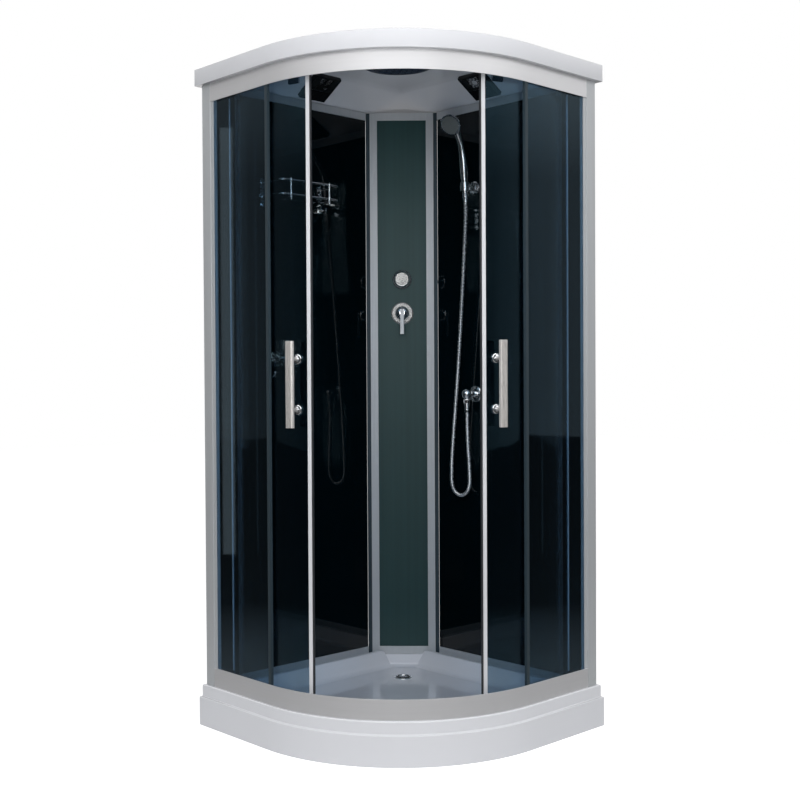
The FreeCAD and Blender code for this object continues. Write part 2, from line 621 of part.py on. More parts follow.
rim = Part.makeCylinder(s.head_radius, 8, neck.add(V(face_way).multiply(s.head_thick - 10)), face_way)
solid("hand_shower", handle.fuse([nut, dome, rim]), handset_place)
solid("spray_face", Part.makeCone(s.head_radius - 5, s.head_radius - 7, 2.5,
                                  neck.add(V(face_way).multiply(s.head_thick - 2)), face_way),
      handset_place)

pivot_out = s.pivot_out
barrel = s.handle_radius - 1
holder_place = on_right_wall(s.shower_along, s.holder_up)
base = Part.makeCylinder(s.holder_plate, 5)
base = base.fuse([Part.makeCone(s.holder_plate, s.holder_plate - 6, 3, V(0, 0, 5)),
                  rod(V(0, 0, 8), V(0, 0, pivot_out), 8),
                  rod(V(-8, 0, pivot_out), V(8, 0, pivot_out), barrel)])
base = base.cut(rod(V(-20, 0, pivot_out), V(20, 0, pivot_out), s.pivot_pin + 0.05))
solid("holder_base", base, holder_place)

ring_half = 14
up_way = V(0, math.cos(lean), math.sin(lean))
ring_middle = V(0, 0, s.holder_out)
ring_low = ring_middle.sub(V(up_way).multiply(ring_half))
clip = Part.makeCylinder(s.handle_radius + 5.5, 2 * ring_half, ring_low, up_way)
for side in (8.3, -12.3):
    cheek = Part.makeCylinder(barrel, 4, V(side, 0, pivot_out), V(1, 0, 0))
    cheek = cheek.fuse(block(side, -8, pivot_out, side + 4, 8, s.holder_out - 4))
    clip = clip.fuse(cheek)
clip = clip.fuse(rod(V(-12.3, 0, pivot_out), V(12.3, 0, pivot_out), s.pivot_pin))
clip = clip.cut(Part.makeCylinder(s.handle_radius + 0.1, 4 * ring_half,
                                  ring_middle.sub(V(up_way).multiply(2 * ring_half)), up_way))
solid("holder_clip", clip, holder_place)

hose_top = grip.sub(V(grip_way).multiply(s.handset_below + 15))
hose_out = hose_top.sub(V(grip_way).multiply(47))
hose_end = V(wall_face - s.elbow_out, s.shower_along, s.elbow_up - s.elbow_drop)
loop_high = hose_end.z - s.hose_loop + 106
fall = [(45, 7, 0.906), (42, 19, 0.744), (40, 32, 0.582), (39, 44, 0.42), (39, 58, 0.258),
        (40, 71, 0.107), (41, 77.5, 0.003)]
hose_route = [hose_top, hose_out]
hose_route += [V(wall_face - off, s.shower_along + aside, loop_high + share * (hose_out.z - loop_high))
               for off, aside, share in fall]
rise = [(41, 78, 283.4), (42, 34, s.hose_loop), (43, -10, 283.4), (44, -9, 203), (s.elbow_out, 0, 103)]
hose_route += [V(wall_face - off, s.shower_along + aside, hose_end.z - under)
               for off, aside, under in rise]
hose_route.append(hose_end)
bends.clear()
hose = ribbed_hose(hose_route, s.hose_radius, s.hose_wall, s.hose_ribs, s.rib_deep)
print("hose bends", [round(bend) for bend in bends], "length",
      round(sum(edge.Length for edge in tube_path(hose_route))))
print("hose route", [tuple(round(place, 2) for place in point) for point in hose_route])
solid("hose", hose)

# ---------------------------------------------------------------- shelf and cup on the left wall
shelf_place = on_left_wall(s.shelf_middle, s.shelf_up)
reach = s.shelf_long / 2
shelf = block(-reach, 0, s.shelf_off, reach, s.shelf_thick, s.shelf_deep)
corners = [edge for edge in shelf.Edges
           if abs(edge.CenterOfMass.z - s.shelf_deep) < 0.01 and edge.Length < 2 * s.shelf_thick]
solid("shelf_glass", shelf.makeFillet(20, corners), shelf_place)

rail_side = reach - 6
rail_out = s.shelf_deep - 8
rails = []
for height in (s.rod_low, s.rod_high):
    level = s.shelf_thick + height
    rails.append(bent_tube([V(-rail_side, level, 0), V(-rail_side, level, rail_out),
                            V(rail_side, level, rail_out), V(rail_side, level, 0)],
                           s.shelf_rod, None, 22))
for across in (-reach + 30, reach - 60):
    rails.append(rod(V(across, s.shelf_thick, rail_out), V(across, s.shelf_thick + s.rod_high + 8,
                                                           rail_out), s.shelf_rod + 1))
gallery = rails[0].fuse(rails[1:])
solid("shelf_rails", gallery, shelf_place)

brackets = []
for across in (-rail_side, rail_side):
    side = s.bracket_wide / 2
    bracket = block(across - side, -side, 0, across + side,
                    s.shelf_thick + s.rod_high + s.bracket_over, s.bracket_thick)
    bracket = bracket.cut([rod(V(across, s.shelf_thick + height, -1),
                               V(across, s.shelf_thick + height, s.bracket_thick + 2),
                               s.shelf_rod + 0.1)
                           for height in (s.rod_low, s.rod_high)])
    arm = block(across - s.arm_wide / 2, -s.arm_wide / 2, s.bracket_thick, across + s.arm_wide / 2,
                -0.1, s.shelf_off + s.arm_reach)
    brackets.append(bracket.fuse(arm))
solid("shelf_brackets", Part.makeCompound(brackets), shelf_place)

cup_foot = s.cup_rim - s.cup_high
ring_share = (s.ring_up - cup_foot) / s.cup_high
ring_radius = (s.cup_foot_radius + ring_share * (s.cup_rim_radius - s.cup_foot_radius)
               + s.run_gap + s.holder_rod)
ring_place = on_left_wall(s.cup_along, s.ring_up)
holder = Part.makeTorus(ring_radius, s.holder_rod, V(0, 0, s.cup_out), V(0, 1, 0))
holder = holder.fuse([rod(V(0, 0, 0), V(0, 0, 5), 22),
                      rod(V(0, 0, 5), V(0, 0, s.cup_out - ring_radius), 5),
                      rod(V(-38, 0, 12), V(38, 0, 12), s.holder_rod)])
for across in (-36, 36):
    hook = bent_tube([V(across, 0, 12), V(across, -42, 16), V(across, -66, 34),
                      V(across, -46, 54)], s.holder_rod)
    holder = holder.fuse([hook, Part.makeSphere(s.holder_rod + 1.5, V(across, -46, 54))])
solid("cup_holder", holder, ring_place)

turned("glass_cup", [("0", "0"), ("cup_foot_radius", "0"), ("cup_rim_radius", "cup_high"),
                     ("cup_rim_radius - cup_wall", "cup_high"),
                     ("cup_foot_radius - cup_wall", "cup_wall + 3"), ("0", "cup_wall + 3")],
       FreeCAD.Placement(V(s.cup_along, wall_face - s.cup_out, cup_foot), FreeCAD.Rotation()))

# ---------------------------------------------------------------- roof
fascia_top = s.roof_base + s.fascia_high
flat = s.side - s.front_radius                     # how far in the footprint still closes
shoulder_inset, shoulder_up = s.shoulder_share * flat, fascia_top + s.shoulder_up
crown_inset, crown_up = s.crown_share * flat, fascia_top + s.crown_up
top_inset = s.top_share * flat
levels = [(14, fascia_top), (shoulder_inset, shoulder_up), (crown_inset, crown_up),
          (top_inset, ROOF_TOP)]
roof = slab(0, s.roof_base, fascia_top + 0.01)
for low, high in zip(levels, levels[1:]):
    roof = roof.fuse(Part.makeLoft([footprint(*low), footprint(*high)], True, True))
ceiling_top = ROOF_TOP - s.roof_skin - 2
ceiling_turn = shoulder_inset + s.ceiling_further
ceiling_shoulder = shoulder_up - s.roof_skin + 1
levels = [(s.ceiling_inset, s.wall_top), (ceiling_turn, ceiling_shoulder),
          (crown_inset, crown_up - s.roof_skin - 2), (top_inset, ceiling_top)]
roof = roof.cut(slab(s.ceiling_inset, s.roof_base - 1, s.wall_top))
for low, high in zip(levels, levels[1:]):
    roof = roof.cut(Part.makeLoft([footprint(*low), footprint(*high)], True, True))
behind = block(wall_end, wall_face - s.wall_rail_front, s.roof_base - 1, HALF - 8, HALF - 8,
               s.wall_top)
solid("roof", roof.cut([behind, mirrored(behind)]))

overhead = V(15, 15, s.overhead_up)
shower_head = Part.makeCylinder(s.overhead_radius, s.overhead_thick - 4, overhead.add(V(0, 0, 4)))
shower_head = shower_head.fuse([Part.makeCone(s.overhead_radius - 4, s.overhead_radius, 4, overhead),
                                Part.makeCylinder(14, ceiling_top - s.overhead_up - s.overhead_thick,
                                                  overhead.add(V(0, 0, s.overhead_thick)))])
jets = []
for ring in range(1, 5):
    for number in range(6 * ring):
        turn = math.pi * number / (3 * ring)
        out = V(math.cos(turn), math.sin(turn), 0).multiply(ring * s.jet_pitch)
        jets.append(Part.makeCylinder(s.jet_radius, s.jet_long,
                                      overhead.add(out).sub(V(0, 0, s.jet_long))))
solid("overhead_shower", shower_head)
solid("overhead_jets", Part.makeCompound(jets))

unit_rise = math.atan2(ceiling_shoulder - s.wall_top, ceiling_turn - s.ceiling_inset)
unit_level = s.wall_top + (s.unit_inset - s.ceiling_inset) * math.tan(unit_rise)
unit_place = axes(V(s.unit_along, HALF - s.unit_inset, unit_level), V(-1, 0, 0),
                  V(0, math.cos(unit_rise), -math.sin(unit_rise)),
                  V(0, -math.sin(unit_rise), -math.cos(unit_rise)))
square = s.unit_side / 2
frame = block(-square, -square, 0.3, square, square, s.unit_thick + 6)
opening = Part.makeCylinder(s.fan_radius + 2, s.unit_thick + 10)
rings = []
for radius in (14, 24, 34, 44):
    ring = Part.makeCylinder(radius + 1.5, 3, V(0, 0, s.unit_thick + 2))
    rings.append(ring.cut(Part.makeCylinder(radius - 1.5, 3, V(0, 0, s.unit_thick + 2))))
spokes = [block(-s.fan_radius - 4, -1.5, s.unit_thick + 2, s.fan_radius + 4, 1.5, s.unit_thick + 5)]
spokes.append(block(-1.5, -s.fan_radius - 4, s.unit_thick + 2, 1.5, s.fan_radius + 4,
                    s.unit_thick + 5))
grille = frame.cut(opening).fuse(rings + spokes)
fan_frame = grille.fuse(Part.makeCylinder(10, 2.5, V(0, 0, 0.3)))
fan_frame = fan_frame.fuse([block(-s.fan_radius - 4, -4, 0.3, s.fan_radius + 4, 4, 2.3),
                            Part.makeCylinder(2.5, s.unit_thick + 2, V(0, 0, 0.3))])
solid("fan_grille", fan_frame, unit_place)
hub = Part.makeCylinder(12, 9, V(0, 0, 3.2))
blades = []
for number in range(7):
    blade = block(0, -1, 4, s.fan_radius - 2, 1, 11)
    blade.rotate(V(0, 0, 7.5), V(1, 0, 0), 30)
    blade.rotate(V(0, 0, 0), V(0, 0, 1), 360 * number / 7)
    blades.append(blade)
rotor = hub.fuse(blades).cut(Part.makeCylinder(2.55, 40, V(0, 0, -5)))
solid("fan_rotor", rotor, unit_place)
louvre = block(-square, -square, 0.3, square, square, s.unit_thick + 6)
louvre = louvre.cut(block(-square + 6, -square + 6, 6, square - 6, square - 6, s.unit_thick + 10))
slats = [block(-square + 5, place, 6, square - 5, place + 3, s.unit_thick + 4)
         for place in [-square + 14 + 12 * number for number in range(8)]]
speaker = louvre.fuse(slats)
speaker.Placement = unit_place
solid("vent_grille", mirrored(speaker))

# ---------------------------------------------------------------- rails and fixed glass
post_face = post_start
jamb_face = post_start - s.jamb_wide
near = s.rail_inset
wall = s.rail_wall
track_low = s.roof_base - s.top_rail_high + s.track_up
track_top = track_low + wall
top_rail = band(near, near + wall, s.roof_base - s.top_rail_high, s.roof_base, post_face)
top_rail = top_rail.fuse([band(near + wall, near + s.rail_deep, s.roof_base - wall, s.roof_base,
                               jamb_face),
                          band(near + wall, near + s.track_deep, track_low, track_top, jamb_face)])
solid("top_rail", top_rail)

rib = s.fixed_inset + s.glass_thick + s.strip_wall + 0.5
rail_top = s.rim_high + s.rail_high
pocket_low = s.rim_high + s.glazing_floor
bottom_rail = band(near, near + wall, s.rim_high, rail_top, post_face)
bottom_rail = bottom_rail.fuse(
    [band(near + wall, near + s.rail_deep, s.rim_high, s.rim_high + wall, jamb_face),
     band(near + wall, rib, pocket_low, pocket_low + wall, jamb_face),
     band(rib, rib + wall, s.rim_high + wall, pocket_low + wall + 18, jamb_face),
     band(near + s.rail_deep - wall, near + s.rail_deep, s.rim_high + wall,
          s.rim_high + wall + s.guide_lip, jamb_face)])
solid("bottom_rail", bottom_rail)

glass_low = pocket_low + wall
glass_high = track_low - s.run_gap
fixed_x = -HALF + s.fixed_inset
strip_end = BEND + 1
fixed = block(fixed_x, strip_end + s.strip_wall, glass_low, fixed_x + s.glass_thick, post_face - 1.5,
              glass_high)
solid("fixed_glass_left", fixed)
solid("fixed_glass_right", mirrored(fixed))
strip = block(fixed_x - s.strip_wall, strip_end, glass_low, fixed_x + s.glass_thick + s.strip_wall,
              strip_end + s.strip_wide, glass_high)
strip = strip.cut(fixed)
solid("fixed_edge_strip_left", strip)
solid("fixed_edge_strip_right", mirrored(strip))

# ---------------------------------------------------------------- doors
pole = V(BEND + s.pole_far_share * s.front_radius, BEND + s.pole_near_share * s.front_radius, 0)
opened = FreeCAD.Placement(V(0, 0, 0), FreeCAD.Rotation(V(0, 0, 1), -s.door_turn), pole)
door_low = s.rim_high + s.door_lift
door_high = s.roof_base - s.top_rail_high + s.door_drop
inner_face = s.door_inset + s.glass_thick


def door_piece(name, shape):
    """The piece on both doors, from its shape on the closed left door, set down opened."""
    shape.Placement = opened.multiply(shape.Placement)
    solid(name + "_left", shape)
    solid(name + "_right", mirrored(shape))


grip_ends = [s.handle_middle - s.handle_pitch / 2, s.handle_middle + s.handle_pitch / 2]
strip_start = s.door_gap + s.seal_wide
glass = door_arc(s.door_inset, inner_face, strip_start + 4, DOOR_LENGTH - 2, door_low, door_high)
post_radius = s.handle_post
bolt_radius = post_radius - 3
for height in grip_ends:
    bolt = rod(V(0, 0, -20), V(0, 0, 20), bolt_radius + 0.3)
    bolt.Placement = at_door(s.handle_back, s.door_inset, height)
    glass = glass.cut(bolt)
door_piece("door_glass", glass)

proud = s.strip_proud
lead = door_arc(s.door_inset - proud, inner_face + proud, strip_start, strip_start + s.strip_wide,
                door_low, door_high)
tail = door_arc(s.door_inset - proud, inner_face + proud, DOOR_LENGTH - s.tail_wide, DOOR_LENGTH,
                door_low, door_high)
groove = door_arc(s.door_inset, inner_face, strip_start + 4, DOOR_LENGTH - 2, door_low - 1,
                  door_high + 1)
seal = door_arc(s.door_inset - 1, inner_face + 1, s.door_gap, strip_start, door_low, door_high)
door_piece("door_edge_strips", Part.makeCompound([lead.cut(groove), tail.cut(groove), seal]))

handle_bar = block(-s.handle_wide / 2, -s.handle_long / 2, s.handle_stand - s.handle_thick / 2,
                   s.handle_wide / 2, s.handle_long / 2, s.handle_stand + s.handle_thick / 2)
long_edges = [edge for edge in handle_bar.Edges if edge.Length > s.handle_long - 1]
handle_bar = handle_bar.makeFillet(s.handle_thick * 0.4, long_edges)
supports = []
for height in (-s.handle_pitch / 2, s.handle_pitch / 2):
    supports += [rod(V(0, height, 0.1), V(0, height, s.handle_stand), post_radius),
                 rod(V(0, height, -s.glass_thick - 2), V(0, height, 1), bolt_radius),
                 rod(V(0, height, -s.glass_thick - 14), V(0, height, -s.glass_thick - 0.4),
                     post_radius + 3)]
handle = handle_bar.fuse(supports)
handle.Placement = at_door(s.handle_back, s.door_inset, s.handle_middle)
door_piece("handle", handle)

wheel_up = track_top + s.wheel_radius + s.axle_gap
wheel_out = inner_face - s.wheel_inset
half_hanger = s.hanger_wide / 2
fittings = []
hanger_places = [s.hanger_front, DOOR_LENGTH - s.hanger_back]
for distance in hanger_places:
    place = at_door(distance, inner_face, 0)
    inner = -s.hanger_clear - s.hanger_plate
    clamp = block(-half_hanger, door_high - 35, -s.hanger_clear, half_hanger, door_high - 1, -0.5)
    plate = block(-half_hanger, door_high - 35, inner, half_hanger, wheel_up + 10, -s.hanger_clear)
    axle = rod(V(0, wheel_up, inner), V(0, wheel_up, wheel_out + 2), s.axle_radius)
    collar = rod(V(0, wheel_up, -s.hanger_clear), V(0, wheel_up, wheel_out - s.wheel_wide - 0.5), 6)
    knob = rod(V(0, wheel_up, wheel_out + 0.5), V(0, wheel_up, wheel_out + 2.5), 6)
    hanger = clamp.fuse([plate, axle, collar, knob])
    hanger.Placement = place
    shoe = block(-s.shoe_wide / 2, s.rim_high + 12, (s.glass_thick - s.shoe_thick) / 2,
                 s.shoe_wide / 2, door_low, (s.glass_thick + s.shoe_thick) / 2)
    shoe.Placement = place
    fittings += [hanger, shoe]
door_piece("door_fittings", Part.makeCompound(fittings))

for name, distance in zip(("front_wheel", "rear_wheel"), hanger_places):
    wheel = Part.makeCylinder(s.wheel_radius, s.wheel_wide, V(0, 0, wheel_out - s.wheel_wide))
    wheel = wheel.cut(Part.makeCylinder(s.axle_radius + s.axle_gap, 60, V(0, 0, -20)))
    wheel.Placement = at_door(distance, inner_face, wheel_up)
    door_piece(name, wheel)

# ---------------------------------------------------------------- check and write
doc.recompute()
for item in doc.Objects:
    if "Invalid" in item.State or "Error" in item.State:
        raise SystemExit("%s is %s" % (item.Label, item.State))
os.makedirs("parts", exist_ok=True)
for item in kept:
    if item.Shape.isNull() or not item.Shape.isValid() or not item.Shape.Solids:
        raise SystemExit("%s has no valid shape" % item.Label)
    item.Shape.exportStep("parts/%s.step" % item.Label)
    print(item.Label, len(item.Shape.Solids), round(item.Shape.Volume / 1000, 1), "cm3")
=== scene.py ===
import math

import bmesh
import bpy
from mathutils import Matrix, Vector


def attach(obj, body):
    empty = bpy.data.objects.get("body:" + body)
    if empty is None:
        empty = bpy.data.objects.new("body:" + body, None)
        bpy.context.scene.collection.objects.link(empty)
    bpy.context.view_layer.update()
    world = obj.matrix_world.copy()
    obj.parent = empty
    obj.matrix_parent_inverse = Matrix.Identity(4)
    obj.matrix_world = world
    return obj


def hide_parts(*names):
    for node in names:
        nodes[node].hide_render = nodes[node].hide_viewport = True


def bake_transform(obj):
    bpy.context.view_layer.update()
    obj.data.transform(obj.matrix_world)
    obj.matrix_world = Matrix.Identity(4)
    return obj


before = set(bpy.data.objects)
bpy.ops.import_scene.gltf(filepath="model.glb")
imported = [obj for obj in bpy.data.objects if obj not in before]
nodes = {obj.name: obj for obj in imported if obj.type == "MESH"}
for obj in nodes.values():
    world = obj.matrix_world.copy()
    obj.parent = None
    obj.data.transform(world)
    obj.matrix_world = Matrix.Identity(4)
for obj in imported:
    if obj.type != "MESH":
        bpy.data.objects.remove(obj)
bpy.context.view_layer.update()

scene = bpy.context.scene
scene.view_settings.view_transform = "Standard"


# ---- Where the cabin is seen from.
# A shop photograph taken square to the rounded front from about three and a half
# metres, at chest height, with a short telephoto lens. Its small turns are in degrees.
stands_at, lens_mm, film_mm = (-2.5006, -2.6331, 1.0839), 52.18, 36
turned_left, tipped_down, rolled = 1.445, 0.975, 0.309
ahead, dip = math.radians(45 + turned_left), math.radians(-tipped_down)
look = Vector((math.cos(ahead) * math.cos(dip), math.sin(ahead) * math.cos(dip), math.sin(dip)))
bpy.ops.object.camera_add(location=stands_at)
camera = bpy.context.object
camera.name = "photographer"
camera.rotation_mode = "QUATERNION"
camera.rotation_quaternion = look.to_track_quat("-Z", "Y")
camera.rotation_quaternion.rotate(Matrix.Rotation(math.radians(rolled), 3, look).to_quaternion())
camera.data.lens, camera.data.sensor_width = lens_mm, film_mm
camera.data.clip_start, camera.data.clip_end = 0.1, 60
scene.camera = camera


# ---- The hand shower's hose.
# A flexible metal hose, 13 mm thick and 1.36 m long, its ribs rolled from one steel strip.
# It hangs from the handset in a long loop beside the wall and comes back up into the
# elbow. A crimped sleeve holds each end.
class Reading:
    """A shader socket that takes part in sums."""

    def __init__(self, finish, socket):
        self.finish, self.socket = finish, socket

    def sum(self, kind, first, second):
        return self.finish.node("ShaderNodeMath", {0: first, 1: second}, operation=kind)

    def __add__(self, other):
        return self.sum("ADD", self, other)

    def __mul__(self, other):
        return self.sum("MULTIPLY", self, other)

    def __sub__(self, other):
        return self.sum("SUBTRACT", self, other)

    def __rsub__(self, other):
        return self.sum("SUBTRACT", other, self)

    __radd__, __rmul__ = __add__, __mul__


class Finish:
    """The nodes of one finish, or of the studio round the cabin."""

    def __init__(self, name, colour=None, rough=0.5, metal=0.0, owner=None, **settings):
        self.material = owner or bpy.data.materials.new(name)
        self.material.use_nodes = True
        self.tree = self.material.node_tree
        if colour is not None:
            self.shader = self.tree.nodes["Principled BSDF"]
            self.colour = colour
            self.set("Base Color", (*colour, 1))
            self.set("Roughness", rough)
            self.set("Metallic", metal)
            for socket, value in settings.items():
                self.set(socket.replace("_", " ").title().replace("Ior", "IOR"), value)

    def node(self, kind, values=None, out=0, **settings):
        """Adds a node: its settings first, then the values or links of its sockets."""
        made = self.tree.nodes.new(kind)
        for key, value in settings.items():
            setattr(made, key, value)
        for key, value in (values or {}).items():
            self.plug(made.inputs[key], value)
        return Reading(self, made.outputs[out])

    def plug(self, socket, value):
        """Links a reading to a socket, or sets a plain value on it."""
        if isinstance(value, Reading):
            self.tree.links.new(value.socket, socket)
        else:
            socket.default_value = value

    def set(self, socket, value):
        self.plug(self.shader.inputs[socket], value)

    def noise(self, size, stretch=(1, 1, 1), detail=3.0):
        """Noise of about size metres, drawn out along the three axes."""
        place = self.node("ShaderNodeMapping", {
            "Vector": self.node("ShaderNodeTexCoord", out="Object"),
            "Scale": tuple(1 / (size * by) for by in stretch)})
        return self.node("ShaderNodeTexNoise", {"Vector": place, "Scale": 1.0, "Detail": detail})

    def span(self, reading, low, high, start=0.3, stop=0.7):
        """Goes from low to high while the reading goes from start to stop."""
        return self.node("ShaderNodeMapRange", {0: reading, 1: start, 2: stop, 3: low, 4: high})

    def tones(self, reading, first, second):
        """Goes from the first colour to the second with the reading."""
        return self.node("ShaderNodeMix", {0: reading, 6: (*first, 1), 7: (*second, 1)}, out=2,
                         data_type="RGBA")

    def raised(self, height, far):
        """A relief that is so many metres deep."""
        self.set("Normal", self.node("ShaderNodeBump", {"Height": height, "Distance": far}))

    def grain(self, size, stretch=(1, 1, 1), rough=None, deep=None, tone=None):
        """Roughness that wanders between two values, a relief so many metres deep, and a
        colour that wanders by a share of itself over patches nine times the grain."""
        reading = self.noise(size, stretch)
        if rough:
            self.set("Roughness", self.span(reading, *rough))
        if deep:
            self.raised(reading, deep)
        if tone:
            wide = self.noise(size * 9, stretch, 2.0)
            self.set("Base Color", self.tones(
                self.span(wide, 0, 1), [part * (1 - tone) for part in self.colour],
                [min(1, part * (1 + tone)) for part in self.colour]))
        return self


def take_up(*pieces):
    """Selects these pieces alone, the first as the active one."""
    bpy.ops.object.select_all(action="DESELECT")
    for piece in pieces:
        piece.select_set(True)
    bpy.context.view_layer.objects.active = pieces[0]


def modify(piece, kind, **settings):
    """Adds a modifier and applies it at once."""
    take_up(piece)
    made = piece.modifiers.new(kind.title(), kind)
    for key, value in settings.items():
        setattr(made, key, value)
    bpy.ops.object.modifier_apply(modifier=made.name)


def finished(piece, name, finish, body="cabin", stands_for=(), crease=32, flats=True):
    """Sets a piece's place into its mesh, shades it, and gives it its finish and its body."""
    take_up(piece)
    bpy.ops.object.transform_apply(location=True, rotation=True, scale=True)
    bpy.ops.object.shade_smooth_by_angle(angle=math.radians(crease))
    if flats:
        modify(piece, "WEIGHTED_NORMAL", keep_sharp=True)
    piece.name = piece.data.name = name
    piece.data.materials.clear()
    piece.data.materials.append(finish.material)
    if body:
        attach(piece, body)
    if stands_for:
        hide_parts(*([stands_for] if isinstance(stands_for, str) else stands_for))
    return piece


def set_down(piece, place):
    """Puts a piece made about the origin where its 4 by 4 place says."""
    take_up(piece)
    piece.matrix_world = place
    bpy.ops.object.transform_apply(location=True, rotation=True, scale=True)
    return piece


def turns(count):
    """A full turn in so many equal steps."""
    return [math.tau * number / count for number in range(count)]


def looking(at, out, up=(0, 0, 1)):
    """A place at a point whose own Z looks out and whose own Y is as near up as it can be."""
    out, up = Vector(out).normalized(), Vector(up)
    across = up.cross(out).normalized()
    turn = Matrix((across, out.cross(across), out)).transposed()
    return Matrix.Translation(at) @ turn.to_4x4()


def turned(stations, place, around=64, hollow=False):
    """A lathe-turned solid, or with a bore a ring, from (radius, height) stations up its axis."""
    bpy.ops.object.select_all(action="DESELECT")
    bpy.ops.mesh.primitive_circle_add(vertices=around, radius=stations[0][0],
                                      fill_type="NOTHING" if hollow else "NGON",
                                      location=(0, 0, stations[0][1]))
    piece = bpy.context.object
    bpy.ops.object.transform_apply(location=True)
    bpy.ops.object.mode_set(mode="EDIT")
    bpy.ops.mesh.select_all(action="SELECT")
    for (r0, h0), (r1, h1) in zip(stations, stations[1:]):
        bpy.ops.mesh.extrude_region_move(TRANSFORM_OT_translate={"value": (0, 0, h1 - h0)})
        bpy.ops.transform.resize(value=(r1 / r0, r1 / r0, 1), center_override=(0, 0, h1))
    if hollow:
        bpy.ops.mesh.select_mode(type="EDGE")
        bpy.ops.mesh.select_all(action="DESELECT")
        bpy.ops.mesh.select_non_manifold()
        bpy.ops.mesh.bridge_edge_loops()
        bpy.ops.mesh.select_mode(type="VERT")
    bpy.ops.mesh.select_all(action="SELECT")
    bpy.ops.mesh.remove_doubles(threshold=1e-6)
    bpy.ops.mesh.normals_make_consistent(inside=False)
    bpy.ops.object.mode_set(mode="OBJECT")
    return set_down(piece, place)


hose_ways = [(0.37009, 0.060, 1.69605), (0.37255, 0.060, 1.64912), (0.374, 0.067, 1.56836),
             (0.377, 0.079, 1.42918), (0.379, 0.092, 1.29001), (0.380, 0.104, 1.15083),
             (0.380, 0.118, 1.01165), (0.379, 0.131, 0.88193), (0.378, 0.1375, 0.79258),
             (0.378, 0.138, 0.7096), (0.377, 0.094, 0.684), (0.376, 0.050, 0.7096),
             (0.375, 0.051, 0.790), (0.374, 0.060, 0.890), (0.374, 0.060, 0.993)]
hose_radius, hose_valley, rib_pitch, plain_end = 0.0065, 0.0058, 0.0026, 0.015
hose_line = bpy.data.curves.new("hose_way", "CURVE")
hose_line.dimensions = "3D"
hose_line.resolution_u = 60
run = hose_line.splines.new("NURBS")
run.points.add(len(hose_ways) - 1)
for point, way in zip(run.points, hose_ways):
    point.co = (*way, 1)
run.order_u = 3
run.use_endpoint_u = True
guide = bpy.data.objects.new("hose_way", hose_line)
scene.collection.objects.link(guide)
bpy.context.view_layer.update()
traced = bpy.data.meshes.new_from_object(guide.evaluated_get(
    bpy.context.evaluated_depsgraph_get()))
hose_path = [vertex.co.copy() for vertex in traced.vertices]
bpy.data.objects.remove(guide)
bpy.data.meshes.remove(traced)
reach = [0.0]
for here, there in zip(hose_path, hose_path[1:]):
    reach.append(reach[-1] + (there - here).length)
hose_length = reach[-1]

ribbed_length = hose_length - 2 * plain_end
ribs = int(ribbed_length / rib_pitch)
rings = [(0, hose_valley)]
for rib in range(ribs):
    start = plain_end + rib * ribbed_length / ribs
    rings += [(start + part * rib_pitch, radius) for part, radius in
              ((0.05, hose_valley), (0.28, hose_radius), (0.62, hose_radius), (0.85, hose_valley))]
rings.append((hose_length, hose_valley))
mesh = bmesh.new()
loops, spot, sides = [], 0, 16
for far, radius in rings:
    while spot < len(reach) - 2 and reach[spot + 1] < far:
        spot += 1
    part = (far - reach[spot]) / (reach[spot + 1] - reach[spot])
    middle = hose_path[spot].lerp(hose_path[spot + 1], part)
    before = hose_path[spot + 1] - hose_path[max(spot - 1, 0)]
    after = hose_path[min(spot + 2, len(hose_path) - 1)] - hose_path[spot]
    along = before.normalized().lerp(after.normalized(), part).normalized()
    across = (Vector((1, 0, 0)) - along * along.x).normalized()
    up = along.cross(across)
    loops.append([mesh.verts.new(middle + radius * (math.cos(turn) * across + math.sin(turn) * up))
                  for turn in turns(sides)])
for lower, upper in zip(loops, loops[1:]):
    for number in range(sides):
        beside = (number + 1) % sides
        mesh.faces.new((lower[number], lower[beside], upper[beside], upper[number]))
mesh.faces.new(reversed(loops[0]))
mesh.faces.new(loops[-1])
hose_mesh = bpy.data.meshes.new("hose")
mesh.to_mesh(hose_mesh)
mesh.free()
hose = bpy.data.objects.new("hose", hose_mesh)
scene.collection.objects.link(hose)

ribbed_steel = Finish("ribbed_steel", (0.70, 0.70, 0.71), 0.26, 0.9)
ribbed_steel.grain(0.004, rough=(0.16, 0.34), tone=0.10)
chrome = Finish("chrome", (0.82, 0.83, 0.85), 0.09, 1.0)
chrome.grain(0.03, rough=(0.05, 0.11), deep=0.00002, tone=0.03)
finished(hose, "hand_shower_hose", ribbed_steel, None, "hose", 60, flats=False)
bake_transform(hose)
for name, end, away, body in (
        ("upper", 0, hose_path[1] - hose_path[0], "handset_holder"),
        ("lower", -1, hose_path[-2] - hose_path[-1], "cabin")):
    sleeve = turned([(0.0062, 0.0), (0.0082, 0.0), (0.0086, 0.001), (0.0086, 0.005),
                     (0.0078, 0.006), (0.0078, 0.009), (0.0084, 0.010), (0.0084, 0.013),
                     (0.0078, 0.014), (0.0076, 0.019), (0.0069, 0.020), (0.0062, 0.020)],
                    looking(hose_path[end], away, (1, 0, 0)), 48, hollow=True)
    finished(sleeve, "hose_sleeve_" + name, chrome, body)


# ---- Floor and light.
# A white studio: a pale floor that keeps the cabin's shadow, soft lamps at the front and
# the sides, a low one for the ceiling, two tall strips that the metal mirrors, and a thin
# one beyond each side pane.
floor_pale, floor_far, floor_in_mirrors, floor_shade = 0.80, 0.06, 0.55, 0.38
paper_end, paper_gone = 1.2, 2.6
fill_light = 0.66
bpy.ops.object.select_all(action="DESELECT")
bpy.ops.mesh.primitive_plane_add(size=30, location=(0, 0, -0.0005))
floor = bpy.context.object
floor.name = "studio_floor"


